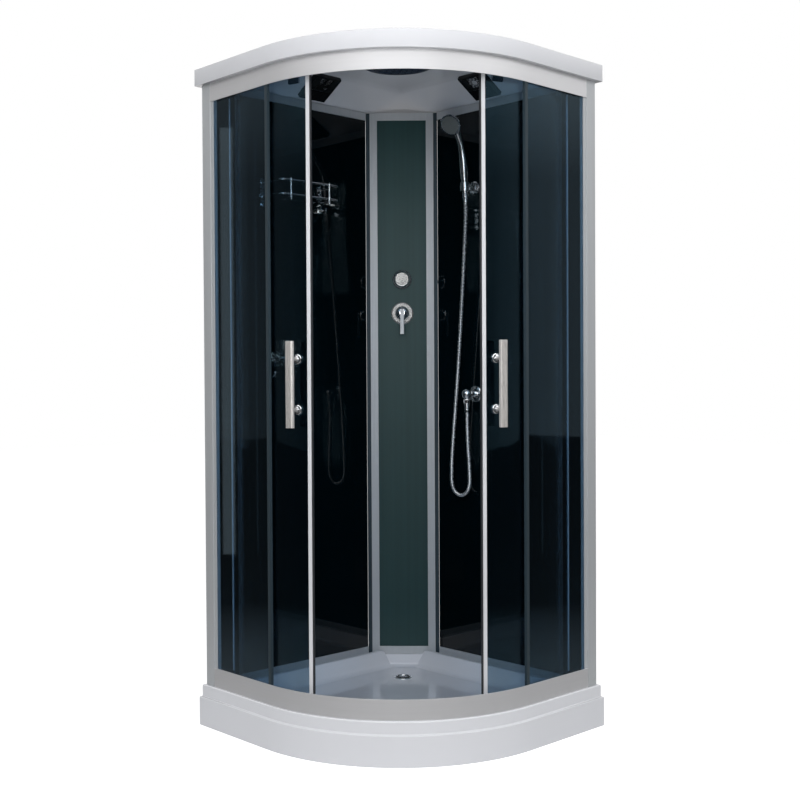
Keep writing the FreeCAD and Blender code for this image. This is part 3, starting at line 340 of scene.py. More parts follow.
def rays(finish):
    """Two masks: rays that see the studio straight or through glass, and mirrored rays."""
    path = finish.node("ShaderNodeLightPath").socket.node.outputs
    once = finish.node("ShaderNodeMath", {0: Reading(finish, path["Glossy Depth"]), 1: 1.0},
                       operation="MINIMUM")
    through = Reading(finish, path["Is Transmission Ray"])
    straight = Reading(finish, path["Is Camera Ray"]) + through * (1.0 - once)
    return straight, finish.node("ShaderNodeMath", {
        0: Reading(finish, path["Is Glossy Ray"]) + through * once, 1: 1.0}, operation="MINIMUM")


paper = Finish("floor_paper")
paper.tree.nodes.clear()
spread = paper.node("ShaderNodeVectorMath", {0: paper.node("ShaderNodeTexCoord", out="Object")},
                    out="Value", operation="LENGTH")
white = paper.span(spread, 1.0, 0.0, paper_end, paper_gone)
straight, mirrored = rays(paper)
matt = paper.node("ShaderNodeBsdfDiffuse", {"Color": paper.tones(
    white * (1.0 - mirrored * floor_in_mirrors), [floor_far] * 3, [floor_pale] * 3)})
glow = paper.node("ShaderNodeEmission", {
    "Color": (1, 1, 1, 1), "Strength": straight * (1.0 - white * floor_shade)})
paper.plug(paper.tree.nodes.new("ShaderNodeOutputMaterial").inputs["Surface"],
           paper.node("ShaderNodeAddShader", {0: matt, 1: glow}))
floor.data.materials.append(paper.material)


def lamp(name, place, aim, wide, tall, power):
    """A soft rectangular lamp, so many metres wide and tall."""
    bpy.ops.object.light_add(type="AREA", location=place)
    light = bpy.context.object
    light.name = name
    light.data.shape = "RECTANGLE"
    light.data.size, light.data.size_y = wide, tall
    light.data.energy = power
    light.rotation_euler = (Vector(aim) - Vector(place)).to_track_quat("-Z", "Y").to_euler()
    return light


lamp("left_softbox", (-2.6, 0.9, 3.9), (0, 0, 1.3), 1.6, 1.2, 6)
lamp("right_softbox", (0.9, -2.6, 3.9), (0, 0, 1.3), 1.6, 1.2, 14)
front = lamp("front_softbox", (-2.5, -2.5, 2.3), (0.3, 0.3, 0.9), 1.8, 1.2, 36)
fill = lamp("ceiling_fill", (-1.5, -1.5, 0.8), (0.2, 0.2, 2.1), 1.2, 0.5, 3.2)
front.visible_glossy = fill.visible_glossy = False
fill.data.spread = math.radians(80)
lamp("left_tall_strip", (-2.83, -1.70, 1.5), (0.3, 0.3, 1.4), 0.3, 1.5, 7)
lamp("right_tall_strip", (-1.70, -2.83, 1.5), (0.3, 0.3, 1.4), 0.3, 1.5, 7)
lamp("left_strip", (-2.16, 2.77, 1.3), (-0.43, 0.3, 1.2), 0.07, 2.4, 0.25)
lamp("right_strip", (2.77, -2.16, 1.3), (0.3, -0.43, 1.2), 0.07, 2.4, 0.25)

world = bpy.data.worlds.new("studio")
scene.world = world
studio = Finish("studio", owner=world)
way = studio.node("ShaderNodeTexCoord", out="Generated")


def towards(x, y, z):
    """How far a ray of one metre goes in a direction."""
    return studio.node("ShaderNodeVectorMath", {0: way, 1: (x, y, z)}, out="Value",
                       operation="DOT_PRODUCT")


diagonal = math.sqrt(0.5)
behind = studio.span(towards(diagonal, diagonal, 0), 0.0, 1.0, 0.35, 0.80)
aside, above = towards(diagonal, -diagonal, 0), towards(0, 0, 1)
low = studio.span(aside, 0.12, 0.04, -0.95, -0.5) + studio.span(aside, 0.0, 0.24, 0.5, 0.95)
high = (studio.span(above, 0.0, 1.8, 0.17, 0.38) * studio.span(aside, 0.25, 1.1, -0.95, -0.5)
        * studio.span(aside, 1.0, 0.6, 0.2, 0.95))
backdrop = behind + (1.0 - behind) * (low + high)
straight, mirrored = rays(studio)
background = world.node_tree.nodes["Background"]
background.inputs["Color"].default_value = (1, 1, 1, 1)
studio.plug(background.inputs["Strength"],
            straight + (1.0 - straight) * (mirrored * backdrop + (1.0 - mirrored) * fill_light))


# ---- Feet and frame under the tray.
# A welded frame of galvanised square tube stands on six plastic feet, each on a
# threaded steel stem that a nut locks.
def made_after(node):
    """A piece drawn over a frame node, its doubled points merged and its flats made whole."""
    take_up(nodes[node])
    bpy.ops.object.duplicate()
    piece = bpy.context.object
    piece.parent = None
    for mark in [key for key in piece.keys() if key.startswith("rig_")]:
        del piece[mark]
    bpy.ops.object.mode_set(mode="EDIT")
    bpy.ops.mesh.select_all(action="SELECT")
    bpy.ops.mesh.customdata_custom_splitnormals_clear()
    bpy.ops.mesh.remove_doubles(threshold=1e-5)
    bpy.ops.mesh.dissolve_limited(angle_limit=math.radians(0.3))
    bpy.ops.object.mode_set(mode="OBJECT")
    return piece


def round_off(piece, width, steps=3, where=None, sharper=30, held=True):
    """Rounds the edges sharper than so many degrees whose middle passes the test where."""
    take_up(piece)
    bpy.ops.object.mode_set(mode="EDIT")
    bpy.ops.mesh.select_mode(type="EDGE")
    bpy.ops.mesh.select_all(action="DESELECT")
    mesh = bmesh.from_edit_mesh(piece.data)
    for edge in mesh.edges:
        middle = (edge.verts[0].co + edge.verts[1].co) / 2
        if (len(edge.link_faces) == 2 and edge.calc_face_angle() > math.radians(sharper)
                and (where is None or where(middle))):
            edge.select_set(True)
    bmesh.update_edit_mesh(piece.data)
    bpy.ops.mesh.bevel(offset=width, segments=steps, affect="EDGES", clamp_overlap=held)
    bpy.ops.mesh.select_mode(type="VERT")
    bpy.ops.object.mode_set(mode="OBJECT")
    return piece


def joined(*pieces):
    """One piece of several."""
    take_up(*pieces)
    bpy.ops.object.join()
    return bpy.context.object


def copied(piece, place):
    """Another of a piece made about the origin, with its own mesh, set down at a place."""
    take_up(piece)
    bpy.ops.object.duplicate()
    return set_down(bpy.context.object, place)


def between(low, high):
    """A test for edges whose middle lies between two heights."""
    return lambda spot: low < spot.z < high


foot_places = [Matrix.Translation((x, y, 0)) for x, y in (
    (-0.380, 0.345), (0.380, 0.345), (-0.380, 0.075), (0.380, 0.075), (-0.290, -0.185),
    (0.380, -0.185))]
grey_plastic = Finish("grey_plastic", (0.30, 0.31, 0.33), 0.5)
grey_plastic.grain(0.002, rough=(0.42, 0.58), deep=0.0001, tone=0.05)
galvanised = Finish("galvanised_steel", (0.56, 0.58, 0.60), 0.4, 1.0)
spangle = galvanised.node("ShaderNodeTexVoronoi",
                          {"Vector": galvanised.node("ShaderNodeTexCoord", out="Object"),
                           "Scale": 90.0}, out="Color")
galvanised.set("Roughness", galvanised.span(spangle, 0.28, 0.52))
galvanised.set("Base Color", galvanised.tones(spangle, (0.44, 0.46, 0.48), (0.66, 0.68, 0.70)))

pad = turned([(0.019, 0.0), (0.020, 0.001), (0.020, 0.004), (0.0185, 0.0055), (0.012, 0.007),
              (0.0095, 0.008), (0.006, 0.008)], Matrix.Identity(4), 40)
stem_foot, stem_root, thread_deep, half_pitch = 0.006, 0.0048, 0.0004, 0.00075
thread = [(stem_root + thread_deep * (number % 2), stem_foot + half_pitch * number)
          for number in range(40)]
stem = turned(thread, Matrix.Identity(4), 24)
nut = turned([(0.0085, 0.031), (0.0092, 0.0317), (0.0092, 0.0353), (0.0085, 0.036)],
             Matrix.Identity(4), 6)
pads = [copied(pad, place) for place in foot_places]
stems = [copied(one, place) for place in foot_places for one in (stem, nut)]
for one in (pad, stem, nut):
    bpy.data.objects.remove(one)
finished(joined(*pads), "foot_pads", grey_plastic, stands_for="tray_feet")
finished(joined(*stems), "foot_stems", galvanised, stands_for="tray_feet")
under_frame = round_off(made_after("tray_frame"), 0.0025, 3)
finished(under_frame, "under_frame", galvanised, stands_for="tray_frame")


# ---- The tray.
# Vacuum-formed white acrylic: a plain skirt whose rounded lip steps out under the rim
# band, a ledge along both walls and a basin that falls away with soft corners.
white_acrylic = Finish("white_acrylic", (0.685, 0.695, 0.730), 0.16, Coat_Weight=0.4,
                       Coat_Roughness=0.04)
white_acrylic.grain(0.05, rough=(0.12, 0.24), deep=0.00006, tone=0.012)
drain_spot = Vector((0.219, 0.219, 0.070))
basin_foot, rim_top, lip = between(0.064, 0.074), between(0.126, 1.0), between(0.089, 0.091)
tray = made_after("tray")
round_off(tray, 0.016, 5, lambda spot: basin_foot(spot) and max(spot.xy) < 0.38
          and (spot.xy - drain_spot.xy).length > 0.06, held=False)
round_off(tray, 0.0045, 4, rim_top)
round_off(tray, 0.0035, 3, lip)
finished(tray, "tray", white_acrylic, stands_for="tray")


# ---- Waste and trap.
# A grey plastic trap hangs under the basin. Its cover lifts out of the floor: a chromed
# ring round a flat black disc, painted shade for the dark well below the cover, with a ring of
# raised slots, and a gunmetal cap in the middle.
trap = round_off(made_after("drain_trap"), 0.0012, 2)
finished(trap, "drain_trap", grey_plastic, stands_for="drain_trap")
drain_place, slot_ring = Matrix.Translation(drain_spot), 0.0198
black_plastic = Finish("black_plastic", (0.004, 0.005, 0.006), 0.42, Specular_IOR_Level=0.25)
black_plastic.grain(0.0015, rough=(0.30, 0.46), deep=0.00008, tone=0.15)
rim = turned([(0.0222, -0.012), (0.0249, -0.012), (0.0249, 0.0), (0.0329, 0.0), (0.0330, 0.0012),
              (0.0322, 0.0026), (0.0298, 0.0037), (0.0272, 0.0036), (0.0256, 0.0024),
              (0.0252, 0.0012), (0.0222, 0.0012)], drain_place, 72, hollow=True)
finished(rim, "drain_rim", chrome, "drain_cover", "drain_cover")
# A flat black plastic disc just above the rim's bore: painted shade for the dark drain below it.
shade_disc = turned([(0.0250, 0.0008), (0.0250, 0.0014), (0.0006, 0.0014)], drain_place, 48)
slots = [turned([(0.0016, 0.0012), (0.0020, 0.0022), (0.0014, 0.0026)], drain_place
                @ Matrix.Translation((slot_ring * math.cos(turn), slot_ring * math.sin(turn), 0)),
                10) for turn in turns(16)]
finished(joined(shade_disc, *slots), "drain_painted_shade_disc", black_plastic, "drain_cover",
         "drain_cover")
gunmetal = Finish("gunmetal", (0.22, 0.23, 0.25), 0.26, 0.85)
gunmetal.grain(0.002, rough=(0.20, 0.32), tone=0.08)
cap = turned([(0.0135, 0.0012), (0.0150, 0.0018), (0.0152, 0.0028), (0.0142, 0.0036),
              (0.0100, 0.0040), (0.0006, 0.0040)], drain_place, 56)
finished(cap, "drain_cap", gunmetal, "drain_cover", "drain_cover")


# ---- Walls.
# Two sheets of safety glass, painted black-teal behind, that stand in satin aluminium
# channels at the foot and the head.
def keep(node, finish):
    """Leaves a frame node as it is, in a better finish."""
    nodes[node].data.materials.clear()
    nodes[node].data.materials.append(finish.material)


painted_glass = Finish("painted_glass", (0.0004, 0.0030, 0.0045), 0.03, IOR=1.40)
painted_glass.grain(0.12, rough=(0.02, 0.05), deep=0.00003, tone=0.3)
keep("wall_panel_left", painted_glass)
keep("wall_panel_right", painted_glass)
satin_aluminium = Finish("satin_aluminium", (0.50, 0.52, 0.54), 0.40, 0.35)
satin_aluminium.grain(0.0012, (1, 1, 40), rough=(0.36, 0.44), tone=0.02)
for name in ("wall_foot_rail_left", "wall_foot_rail_right", "wall_head_rail_left",
             "wall_head_rail_right", "wall_post_left", "wall_post_right"):
    finished(round_off(made_after(name), 0.0012, 2), name, satin_aluminium,
             stands_for=name)


# ---- Corner column.
# A dark glass panel between two extruded stiles with fine grooves, closed by a cross
# rail at each end and by slate-coloured strips that meet the walls.
def drawn(outline, long, place):
    """A flat outline of (x, y) corners drawn out along its place's own Z."""
    bpy.ops.object.select_all(action="DESELECT")
    bpy.ops.mesh.primitive_circle_add(vertices=len(outline), radius=0.01, fill_type="NGON")
    piece = bpy.context.object
    for vertex, (x, y) in zip(piece.data.vertices, outline):
        vertex.co = (x, y, 0)
    bpy.ops.object.mode_set(mode="EDIT")
    bpy.ops.mesh.select_all(action="SELECT")
    bpy.ops.mesh.extrude_region_move(TRANSFORM_OT_translate={"value": (0, 0, long)})
    bpy.ops.mesh.select_all(action="SELECT")
    bpy.ops.mesh.normals_make_consistent(inside=False)
    bpy.ops.object.mode_set(mode="OBJECT")
    return set_down(piece, place)


panel_deep = 0.469996


def on_column(height, off=0.0):
    """On the column's panel: X to the right, Y up and Z out of the panel."""
    deep = (panel_deep - off) * diagonal
    return looking((deep, deep, height), (-1, -1, 0))


def standing(left, right, back, front, low, high, grooves):
    """An upright bar on the column, with grooves down its front."""
    wide = right - left
    corners = [(left, back), (right, back), (right, front)]
    for number in range(grooves, 0, -1):
        middle = left + wide * number / (grooves + 1)
        corners += [(middle + 0.0007, front), (middle + 0.0005, front - 0.0008),
                    (middle - 0.0005, front - 0.0008), (middle - 0.0007, front)]
    corners.append((left, front))
    outline = [((x + panel_deep - y) * diagonal, (panel_deep - y - x) * diagonal)
               for x, y in corners]
    return drawn(outline, high - low, Matrix.Translation((0, 0, low)))


stile_wide, ledge_top, wall_top = 0.026, 0.115, 2.024
for side, left in (("left", -0.112), ("right", 0.086)):
    stile = standing(left, left + stile_wide, -0.014, 0.004, ledge_top, wall_top, grooves=4)
    round_off(stile, 0.0008, 2, sharper=70)
    finished(stile, "column_stile_" + side, satin_aluminium,
             stands_for="column_stile_" + side)
cross = round_off(made_after("column_cross_rails"), 0.001, 2)
finished(cross, "column_cross_rails", satin_aluminium,
         stands_for="column_cross_rails")
slate = Finish("slate_strip", (0.024, 0.038, 0.048), 0.45, Specular_IOR_Level=0.3)
slate.grain(0.0012, (1, 1, 60), rough=(0.40, 0.52), tone=0.06)
strips = round_off(made_after("column_side_strips"), 0.0012, 2)
finished(strips, "column_side_strips", slate, stands_for="column_side_strips")
dark_panel = Finish("dark_panel", (0.016, 0.046, 0.047), 0.36, IOR=1.42)
dark_panel.grain(0.0015, (1, 1, 80), rough=(0.28, 0.42), tone=0.08)
keep("column_panel", dark_panel)


# ---- Valves and pipes behind the walls.
# A cast brass thermostat block with two threaded inlets, a round diverter above it, and
# grey plastic pipes that rise to the head and run round to the hand shower's elbow.
brass = Finish("brass", (0.62, 0.45, 0.20), 0.35, 1.0)
brass.grain(0.004, rough=(0.28, 0.46), deep=0.00012, tone=0.08)
valves = round_off(made_after("valve_bodies"), 0.002, 3)
finished(valves, "valve_bodies", brass, stands_for="valve_bodies")
keep("supply_pipes", grey_plastic)


# ---- Mixer.
# A bevelled satin plate, a chromed dome that turns for warmth, and a flat satin lever
# screwed to its face that lifts for flow.
satin_nickel = Finish("satin_nickel", (0.56, 0.56, 0.55), 0.32, 0.75)
satin_nickel.grain(0.0008, (12, 12, 1), rough=(0.22, 0.36), tone=0.03)
mixer_up, over_plate, over_dome = 1.320, 0.0063, 0.0366
plate = turned([(0.0103, 0.0), (0.0385, 0.0), (0.0390, 0.0006), (0.0390, 0.0020),
                (0.0383, 0.0030), (0.0350, 0.0058), (0.0343, 0.0060), (0.0103, 0.0060)],
               on_column(mixer_up), 96, hollow=True)
finished(plate, "mixer_plate", satin_nickel, stands_for="mixer_plate", crease=20)
dome = turned([(0.0101, 0.0), (0.0243, 0.0), (0.0248, 0.0006), (0.0248, 0.0100),
               (0.0243, 0.0150), (0.0230, 0.0196), (0.0206, 0.0238), (0.0173, 0.0270),
               (0.0132, 0.0291), (0.0084, 0.0300), (0.0006, 0.0300), (0.0006, 0.0144),
               (0.0101, 0.0144)], on_column(mixer_up, over_plate), 72, hollow=True)
finished(dome, "mixer_dome", chrome, "mixer_cap", "mixer_cap")
outline = [(0.0068 * math.cos(turn), 0.0052 + 0.0068 * math.sin(turn))
           for turn in [math.pi * number / 14 for number in range(15)]]
outline += [(-0.0062, -0.030), (-0.0070, -0.0735), (-0.0058, -0.0745), (0.0058, -0.0745),
            (0.0070, -0.0735), (0.0062, -0.030)]
lever = round_off(drawn(outline, 0.005, on_column(mixer_up, over_dome)), 0.0014, 3)
screw = turned([(0.0042, 0.0), (0.0042, 0.0006), (0.0036, 0.0012), (0.0020, 0.0012),
                (0.0018, 0.0002), (0.0006, 0.0002)], on_column(mixer_up + 0.004, 0.0410), 24)
finished(joined(lever, screw), "mixer_lever", satin_aluminium, "mixer_lever",
         "mixer_lever")


# ---- Diverter.
# A gunmetal ring against the panel and a chromed knob with a satin disc pressed into its
# face. It turns to send the water to the overhead shower or to the hand shower.
diverter_up = 1.439
ring = turned([(0.0103, 0.0), (0.0330, 0.0), (0.0335, 0.0006), (0.0335, 0.0020),
               (0.0325, 0.0036), (0.0298, 0.0058), (0.0290, 0.0060), (0.0103, 0.0060)],
              on_column(diverter_up), 96, hollow=True)
finished(ring, "diverter_ring", gunmetal, stands_for="diverter_ring", crease=60)
knob = turned([(0.0101, 0.0), (0.0276, 0.0), (0.0282, 0.0008), (0.0282, 0.0120),
               (0.0276, 0.0160), (0.0258, 0.0204), (0.0236, 0.0228), (0.0226, 0.0226),
               (0.0226, 0.0210), (0.0006, 0.0210), (0.0006, 0.0144), (0.0101, 0.0144)],
              on_column(diverter_up, over_plate), 96, hollow=True)
finished(knob, "diverter_knob", chrome, "diverter_knob", "diverter_knob", crease=24)
disc = turned([(0.0222, 0.0208), (0.0224, 0.0216), (0.0218, 0.0226), (0.0120, 0.0232),
               (0.0006, 0.0234)], on_column(diverter_up, over_plate), 72)
finished(disc, "diverter_disc", satin_nickel, "diverter_knob", "diverter_knob")


# ---- Shelf on the left wall.
# A clear glass plate with a polished edge rests on two chromed wall plates. A gallery
# of two bent rods runs round it, held at the front by two turned posts.
def bent_rod(ways, thick, steps):
    """A round rod of radius thick along a smooth line that its points draw after them. A
    fourth number in a point is its share of the thickness."""
    line = bpy.data.curves.new("rod", "CURVE")
    line.dimensions = "3D"
    line.bevel_depth, line.bevel_resolution, line.resolution_u = thick, 7, steps
    line.use_fill_caps = True
    run = line.splines.new("NURBS")
    run.points.add(len(ways) - 1)
    for point, way in zip(run.points, ways):
        point.co = (*way[:3], 1)
        point.radius = way[3] if len(way) > 3 else 1.0
    run.order_u = 3
    run.use_endpoint_u = True
    piece = bpy.data.objects.new("rod", line)
    scene.collection.objects.link(piece)
    take_up(piece)
    bpy.ops.object.convert(target="MESH")
    piece = bpy.context.object
    bpy.ops.object.mode_set(mode="EDIT")
    bpy.ops.mesh.select_all(action="SELECT")
    bpy.ops.mesh.remove_doubles(threshold=1e-6)
    bpy.ops.mesh.normals_make_consistent(inside=False)
    bpy.ops.object.mode_set(mode="OBJECT")
    return piece


clear_glass = Finish("clear_glass", (0.90, 0.96, 0.95), 0.02, Transmission_Weight=1.0, IOR=1.5)
clear_glass.grain(0.06, rough=(0.01, 0.03))
plate = round_off(made_after("shelf_glass"), 0.0014, 3)
finished(plate, "shelf_glass", clear_glass, stands_for="shelf_glass")
wall_face, shelf_under, shelf_top, shelf_middle = 0.419, 1.660, 1.666, -0.093
half, out, screw_up = 0.119, 0.105, 0.047
gallery = []
for height in (0.018, 0.064):
    gallery.append(bent_rod([(shelf_middle + x, wall_face - y, shelf_top + height) for x, y in (
        (-half, 0), (-half, 0.04), (-half, out - 0.04), (-half, out), (-half + 0.04, out),
        (-0.04, out), (0.04, out), (half - 0.04, out), (half, out), (half, out - 0.04),
        (half, 0.04), (half, 0))], 0.0035, 14))
for x in (-0.083, 0.077):
    gallery.append(turned([
        (0.0055, 0.0), (0.0060, 0.0010), (0.0060, 0.0030), (0.0042, 0.0048), (0.0040, 0.0120),
        (0.0052, 0.0140), (0.0052, 0.0220), (0.0040, 0.0240), (0.0040, 0.0580), (0.0052, 0.0600),
        (0.0052, 0.0675), (0.0036, 0.0686), (0.0044, 0.0697), (0.0044, 0.0710), (0.0030, 0.0719),
        (0.0006, 0.0720)], Matrix.Translation((shelf_middle + x, wall_face - out, shelf_top)), 32))
finished(joined(*gallery), "shelf_gallery", chrome, stands_for="shelf_rails")
plates = round_off(made_after("shelf_brackets"), 0.0009, 2)
caps = [turned([(0.0040, 0.003), (0.0040, 0.0036), (0.0030, 0.0048), (0.0006, 0.0052)],
               looking((shelf_middle + side * half, wall_face, shelf_under + screw_up),
                       (0, -1, 0)), 24) for side in (-1, 1)]
finished(joined(plates, *caps), "shelf_brackets", chrome, stands_for="shelf_brackets")


# ---- Cup and its holder.
# A clear glass tumbler with a thick foot stands in a chromed ring. The ring's rosette
# also carries a cross rod with two hooks for flannels.
holder = round_off(made_after("cup_holder"), 0.0008, 2, sharper=50)
finished(holder, "cup_holder", chrome, stands_for="cup_holder")
cup = turned([(0.0300, 0.0), (0.0352, 0.0008), (0.0359, 0.0030), (0.0365, 0.0080),
              (0.0412, 0.0440), (0.0464, 0.0815), (0.0468, 0.0832), (0.0460, 0.0840),
              (0.0450, 0.0838), (0.0442, 0.0820), (0.0386, 0.0440), (0.0338, 0.0130),
              (0.0318, 0.0090), (0.0260, 0.0074), (0.0006, 0.0070)],
             Matrix.Translation((-0.170, 0.345, 1.130)), 96)
finished(cup, "glass_cup", clear_glass, "cup", "glass_cup", flats=False)


# ---- Elbow and handset holder.
# A chromed elbow feeds the hose from the wall through a hexagon nut. The holder above is
# a rosette with a barrel joint that carries the split clip.
shower_along, elbow_up, elbow_out, ball_radius = 0.060, 1.036, 0.045, 0.0180
elbow_place = looking((wall_face, shower_along, elbow_up), (-1, 0, 0))
rosette = [(0.0102, 0.0), (0.0278, 0.0), (0.0280, 0.0012), (0.0272, 0.0034), (0.0240, 0.0058),
           (0.0180, 0.0074), (0.0120, 0.0080), (0.0102, 0.0080)]
elbow = bent_rod([(0, 0, -0.023), (0, 0, 0), (0, 0, 0.020), (0, 0, elbow_out),
                  (0, -0.014, elbow_out), (0, -0.028, elbow_out), (0, -0.043, elbow_out)],
                 0.0100, 16)
set_down(elbow, elbow_place)
collar = turned([(0.0080, 0.018), (0.0118, 0.018), (0.0125, 0.0195), (0.0125, 0.030),
                 (0.0118, 0.0315), (0.0098, 0.032), (0.0098, 0.043), (0.0080, 0.043)],
                elbow_place @ looking((0, 0, elbow_out), (0, -1, 0)), 6, hollow=True)
round_off(collar, 0.0006, 2, sharper=20)
cover = turned(rosette, elbow_place, 72, hollow=True)
ball = turned([(ball_radius * math.cos(turn), ball_radius * math.sin(turn))
               for turn in [math.radians(degrees) for degrees in range(-84, 85, 12)]],
              elbow_place @ Matrix.Translation((0, 0, elbow_out)), 40)
finished(joined(elbow, collar, cover, ball), "wall_elbow", chrome,
         stands_for="wall_elbow")
for name, body in (("holder_base", "cabin"), ("holder_clip", "handset_holder")):
    finished(round_off(made_after(name), 0.0012, 3), name, chrome, body, name)


# ---- Hand shower.
# One chromed casting: a slim handle that bends forward and swells into the back of a
# round head. A grey rubber face with a groove and rings of nozzles is pressed into its rim.
lean, swivel, face_tilt = (math.radians(degrees) for degrees in (3, 12, 30))
holder_up, holder_out = 1.736, 0.051
grip_way = Vector((-math.sin(lean), 0, math.cos(lean)))
handset = looking((wall_face - holder_out, shower_along, holder_up), grip_way,
                  (math.cos(lean), 0, math.sin(lean))) @ Matrix.Rotation(swivel, 4, "Z")
handle = bent_rod([(0, y / 1000, z / 1000, share) for y, z, share in (
    (0, -25, 0.86), (0, -12, 0.96), (0, 20, 1.0), (0, 36, 1.26), (-1, 60, 1.38), (-3, 90, 1.24),
    (-9.5, 127, 1.02), (-28.5, 172, 0.98), (-62, 206, 1.1))], 0.0105, 24)
head_place = looking((0, -0.062, 0.206), (0, -math.cos(face_tilt), -math.sin(face_tilt)),
                     (0, -0.5, 1))
head = turned([(0.0100, -0.006), (0.0150, -0.0035), (0.0215, 0.0005), (0.0275, 0.0050),
               (0.0325, 0.0095), (0.0355, 0.0130), (0.0368, 0.0160), (0.0368, 0.0178)],
              head_place, 72)
handle = joined(handle, head)
modify(handle, "REMESH", mode="VOXEL", voxel_size=0.0009)
modify(handle, "SMOOTH", factor=0.5, iterations=14)
nut = turned([(0.0070, -0.040), (0.0086, -0.0395), (0.0094, -0.037), (0.0096, -0.030),
              (0.0090, -0.0285), (0.0104, -0.0270), (0.0106, -0.0250), (0.0100, -0.0235)],
             Matrix.Identity(4), 48)
finished(set_down(joined(handle, nut), handset), "hand_shower", chrome,
         "handset_holder", "hand_shower", flats=False)
rim = turned([(0.0305, 0.0165), (0.0364, 0.0165), (0.0370, 0.0172), (0.0370, 0.0186),
              (0.0358, 0.0200), (0.0330, 0.0206), (0.0310, 0.0200), (0.0305, 0.0180)],
             handset @ head_place, 96, hollow=True)
finished(rim, "hand_shower_rim", chrome, "handset_holder", "hand_shower")
face_rubber = Finish("spray_face_rubber", (0.105, 0.120, 0.122), 0.34)
face_rubber.grain(0.0008, rough=(0.28, 0.42), deep=0.00003, tone=0.06)
face = turned([(0.0309, 0.0178), (0.0309, 0.0196), (0.0300, 0.0202), (0.0276, 0.0203),
               (0.0272, 0.0195), (0.0262, 0.0195), (0.0258, 0.0205), (0.0180, 0.0208),
               (0.0006, 0.0209)], handset @ head_place, 72)
nozzle = turned([(0.0015, 0.0), (0.0012, 0.0005), (0.0009, 0.0006), (0.0005, 0.0002)],
                Matrix.Identity(4), 10)
face_top, nozzle_rings = 0.0205, ((0.005, 6), (0.010, 12), (0.015, 18), (0.020, 24), (0.0236, 30))
nozzles = [copied(nozzle, handset @ head_place @ Matrix.Translation(
               (far * math.cos(turn), far * math.sin(turn), face_top)))
           for far, count in nozzle_rings for turn in turns(count)]
bpy.data.objects.remove(nozzle)
finished(joined(face, *nozzles), "spray_face", face_rubber, "handset_holder",
         "spray_face")


# ---- Roof.
# One vacuum-formed shell of white acrylic: an upright fascia with a rounded lower lip
# and a shallow dome that rises in three soft folds, with the ceiling formed inside it.
roof = made_after("roof")
dome_folds, front_middle = between(2.066, 3.0), Vector((0.1, 0.1))
round_off(roof, 0.018, 4, dome_folds, sharper=7)
round_off(roof, 0.006, 4, lambda spot: max(abs(spot.x), abs(spot.y)) > 0.40
          or (spot.xy - front_middle).length > 0.54)
finished(roof, "roof", white_acrylic, stands_for="roof", crease=40, flats=False)


# ---- Overhead shower.
# A round moulded head in dark blue plastic, 230 mm across, on a short neck from the
# ceiling, with rubber jets in four rings.
blue_plastic = Finish("dark_blue_plastic", (0.002, 0.012, 0.045), 0.26, Specular_IOR_Level=0.3)
blue_plastic.grain(0.003, rough=(0.24, 0.38), deep=0.00006, tone=0.1)
rubber = Finish("dark_rubber", (0.020, 0.022, 0.026), 0.5)
rubber.grain(0.001, rough=(0.42, 0.60), deep=0.00005, tone=0.15)
overhead_spot, jet_pitch = Matrix.Translation((0.015, 0.015, 2.068)), 0.0215
plate = turned([(0.1040, 0.0), (0.1095, 0.0008), (0.1128, 0.0028), (0.1148, 0.0060),
                (0.1150, 0.0100), (0.1138, 0.0134), (0.1100, 0.0156), (0.1060, 0.0160),
                (0.0300, 0.0160), (0.0220, 0.0175), (0.0165, 0.0215), (0.0140, 0.0280),
                (0.0140, 0.0800)], overhead_spot, 128)
finished(plate, "overhead_shower", blue_plastic,
         stands_for="overhead_shower")
jet = turned([(0.0024, 0.0), (0.0022, -0.0007), (0.0016, -0.0014), (0.0011, -0.0015),
              (0.0007, -0.0008)], Matrix.Identity(4), 12)
jets = [copied(jet, overhead_spot @ Matrix.Translation(
            (jet_pitch * ring * math.cos(turn), jet_pitch * ring * math.sin(turn), 0)))
        for ring in (1, 2, 3, 4) for turn in turns(6 * ring)]
bpy.data.objects.remove(jet)
finished(joined(*jets), "overhead_jets", rubber, stands_for="overhead_jets")


# ---- Fan and vent in the ceiling.
# Two square black plastic housings clipped to the ceiling's slope, each with six slats and
# a round ringed eye. A rotor turns behind the left one. A satin cap with nine studs round
# it closes the right one's eye.
unit_rise, unit_along, unit_in, unit_up = math.radians(31.14), -0.022, 0.357, 2.06448
opening, eye_radius, eye_down, stud_ring = 0.0475, 0.0225, 0.0240, 0.0175
slat_low, slat_pitch, slat_tilt = 0.0115, 0.0058, math.radians(-24)
steep, flat = math.sin(unit_rise), math.cos(unit_rise)
fan_place = looking((unit_along, unit_in, unit_up), (0, -steep, -flat), (0, flat, -steep))
vent_place = looking((unit_in, unit_along, unit_up), (-steep, 0, -flat), (flat, 0, -steep))


def oblong(left, right, low, high):
    """The outline of an oblong, to be drawn out."""
    return [(left, low), (right, low), (right, high), (left, high)]


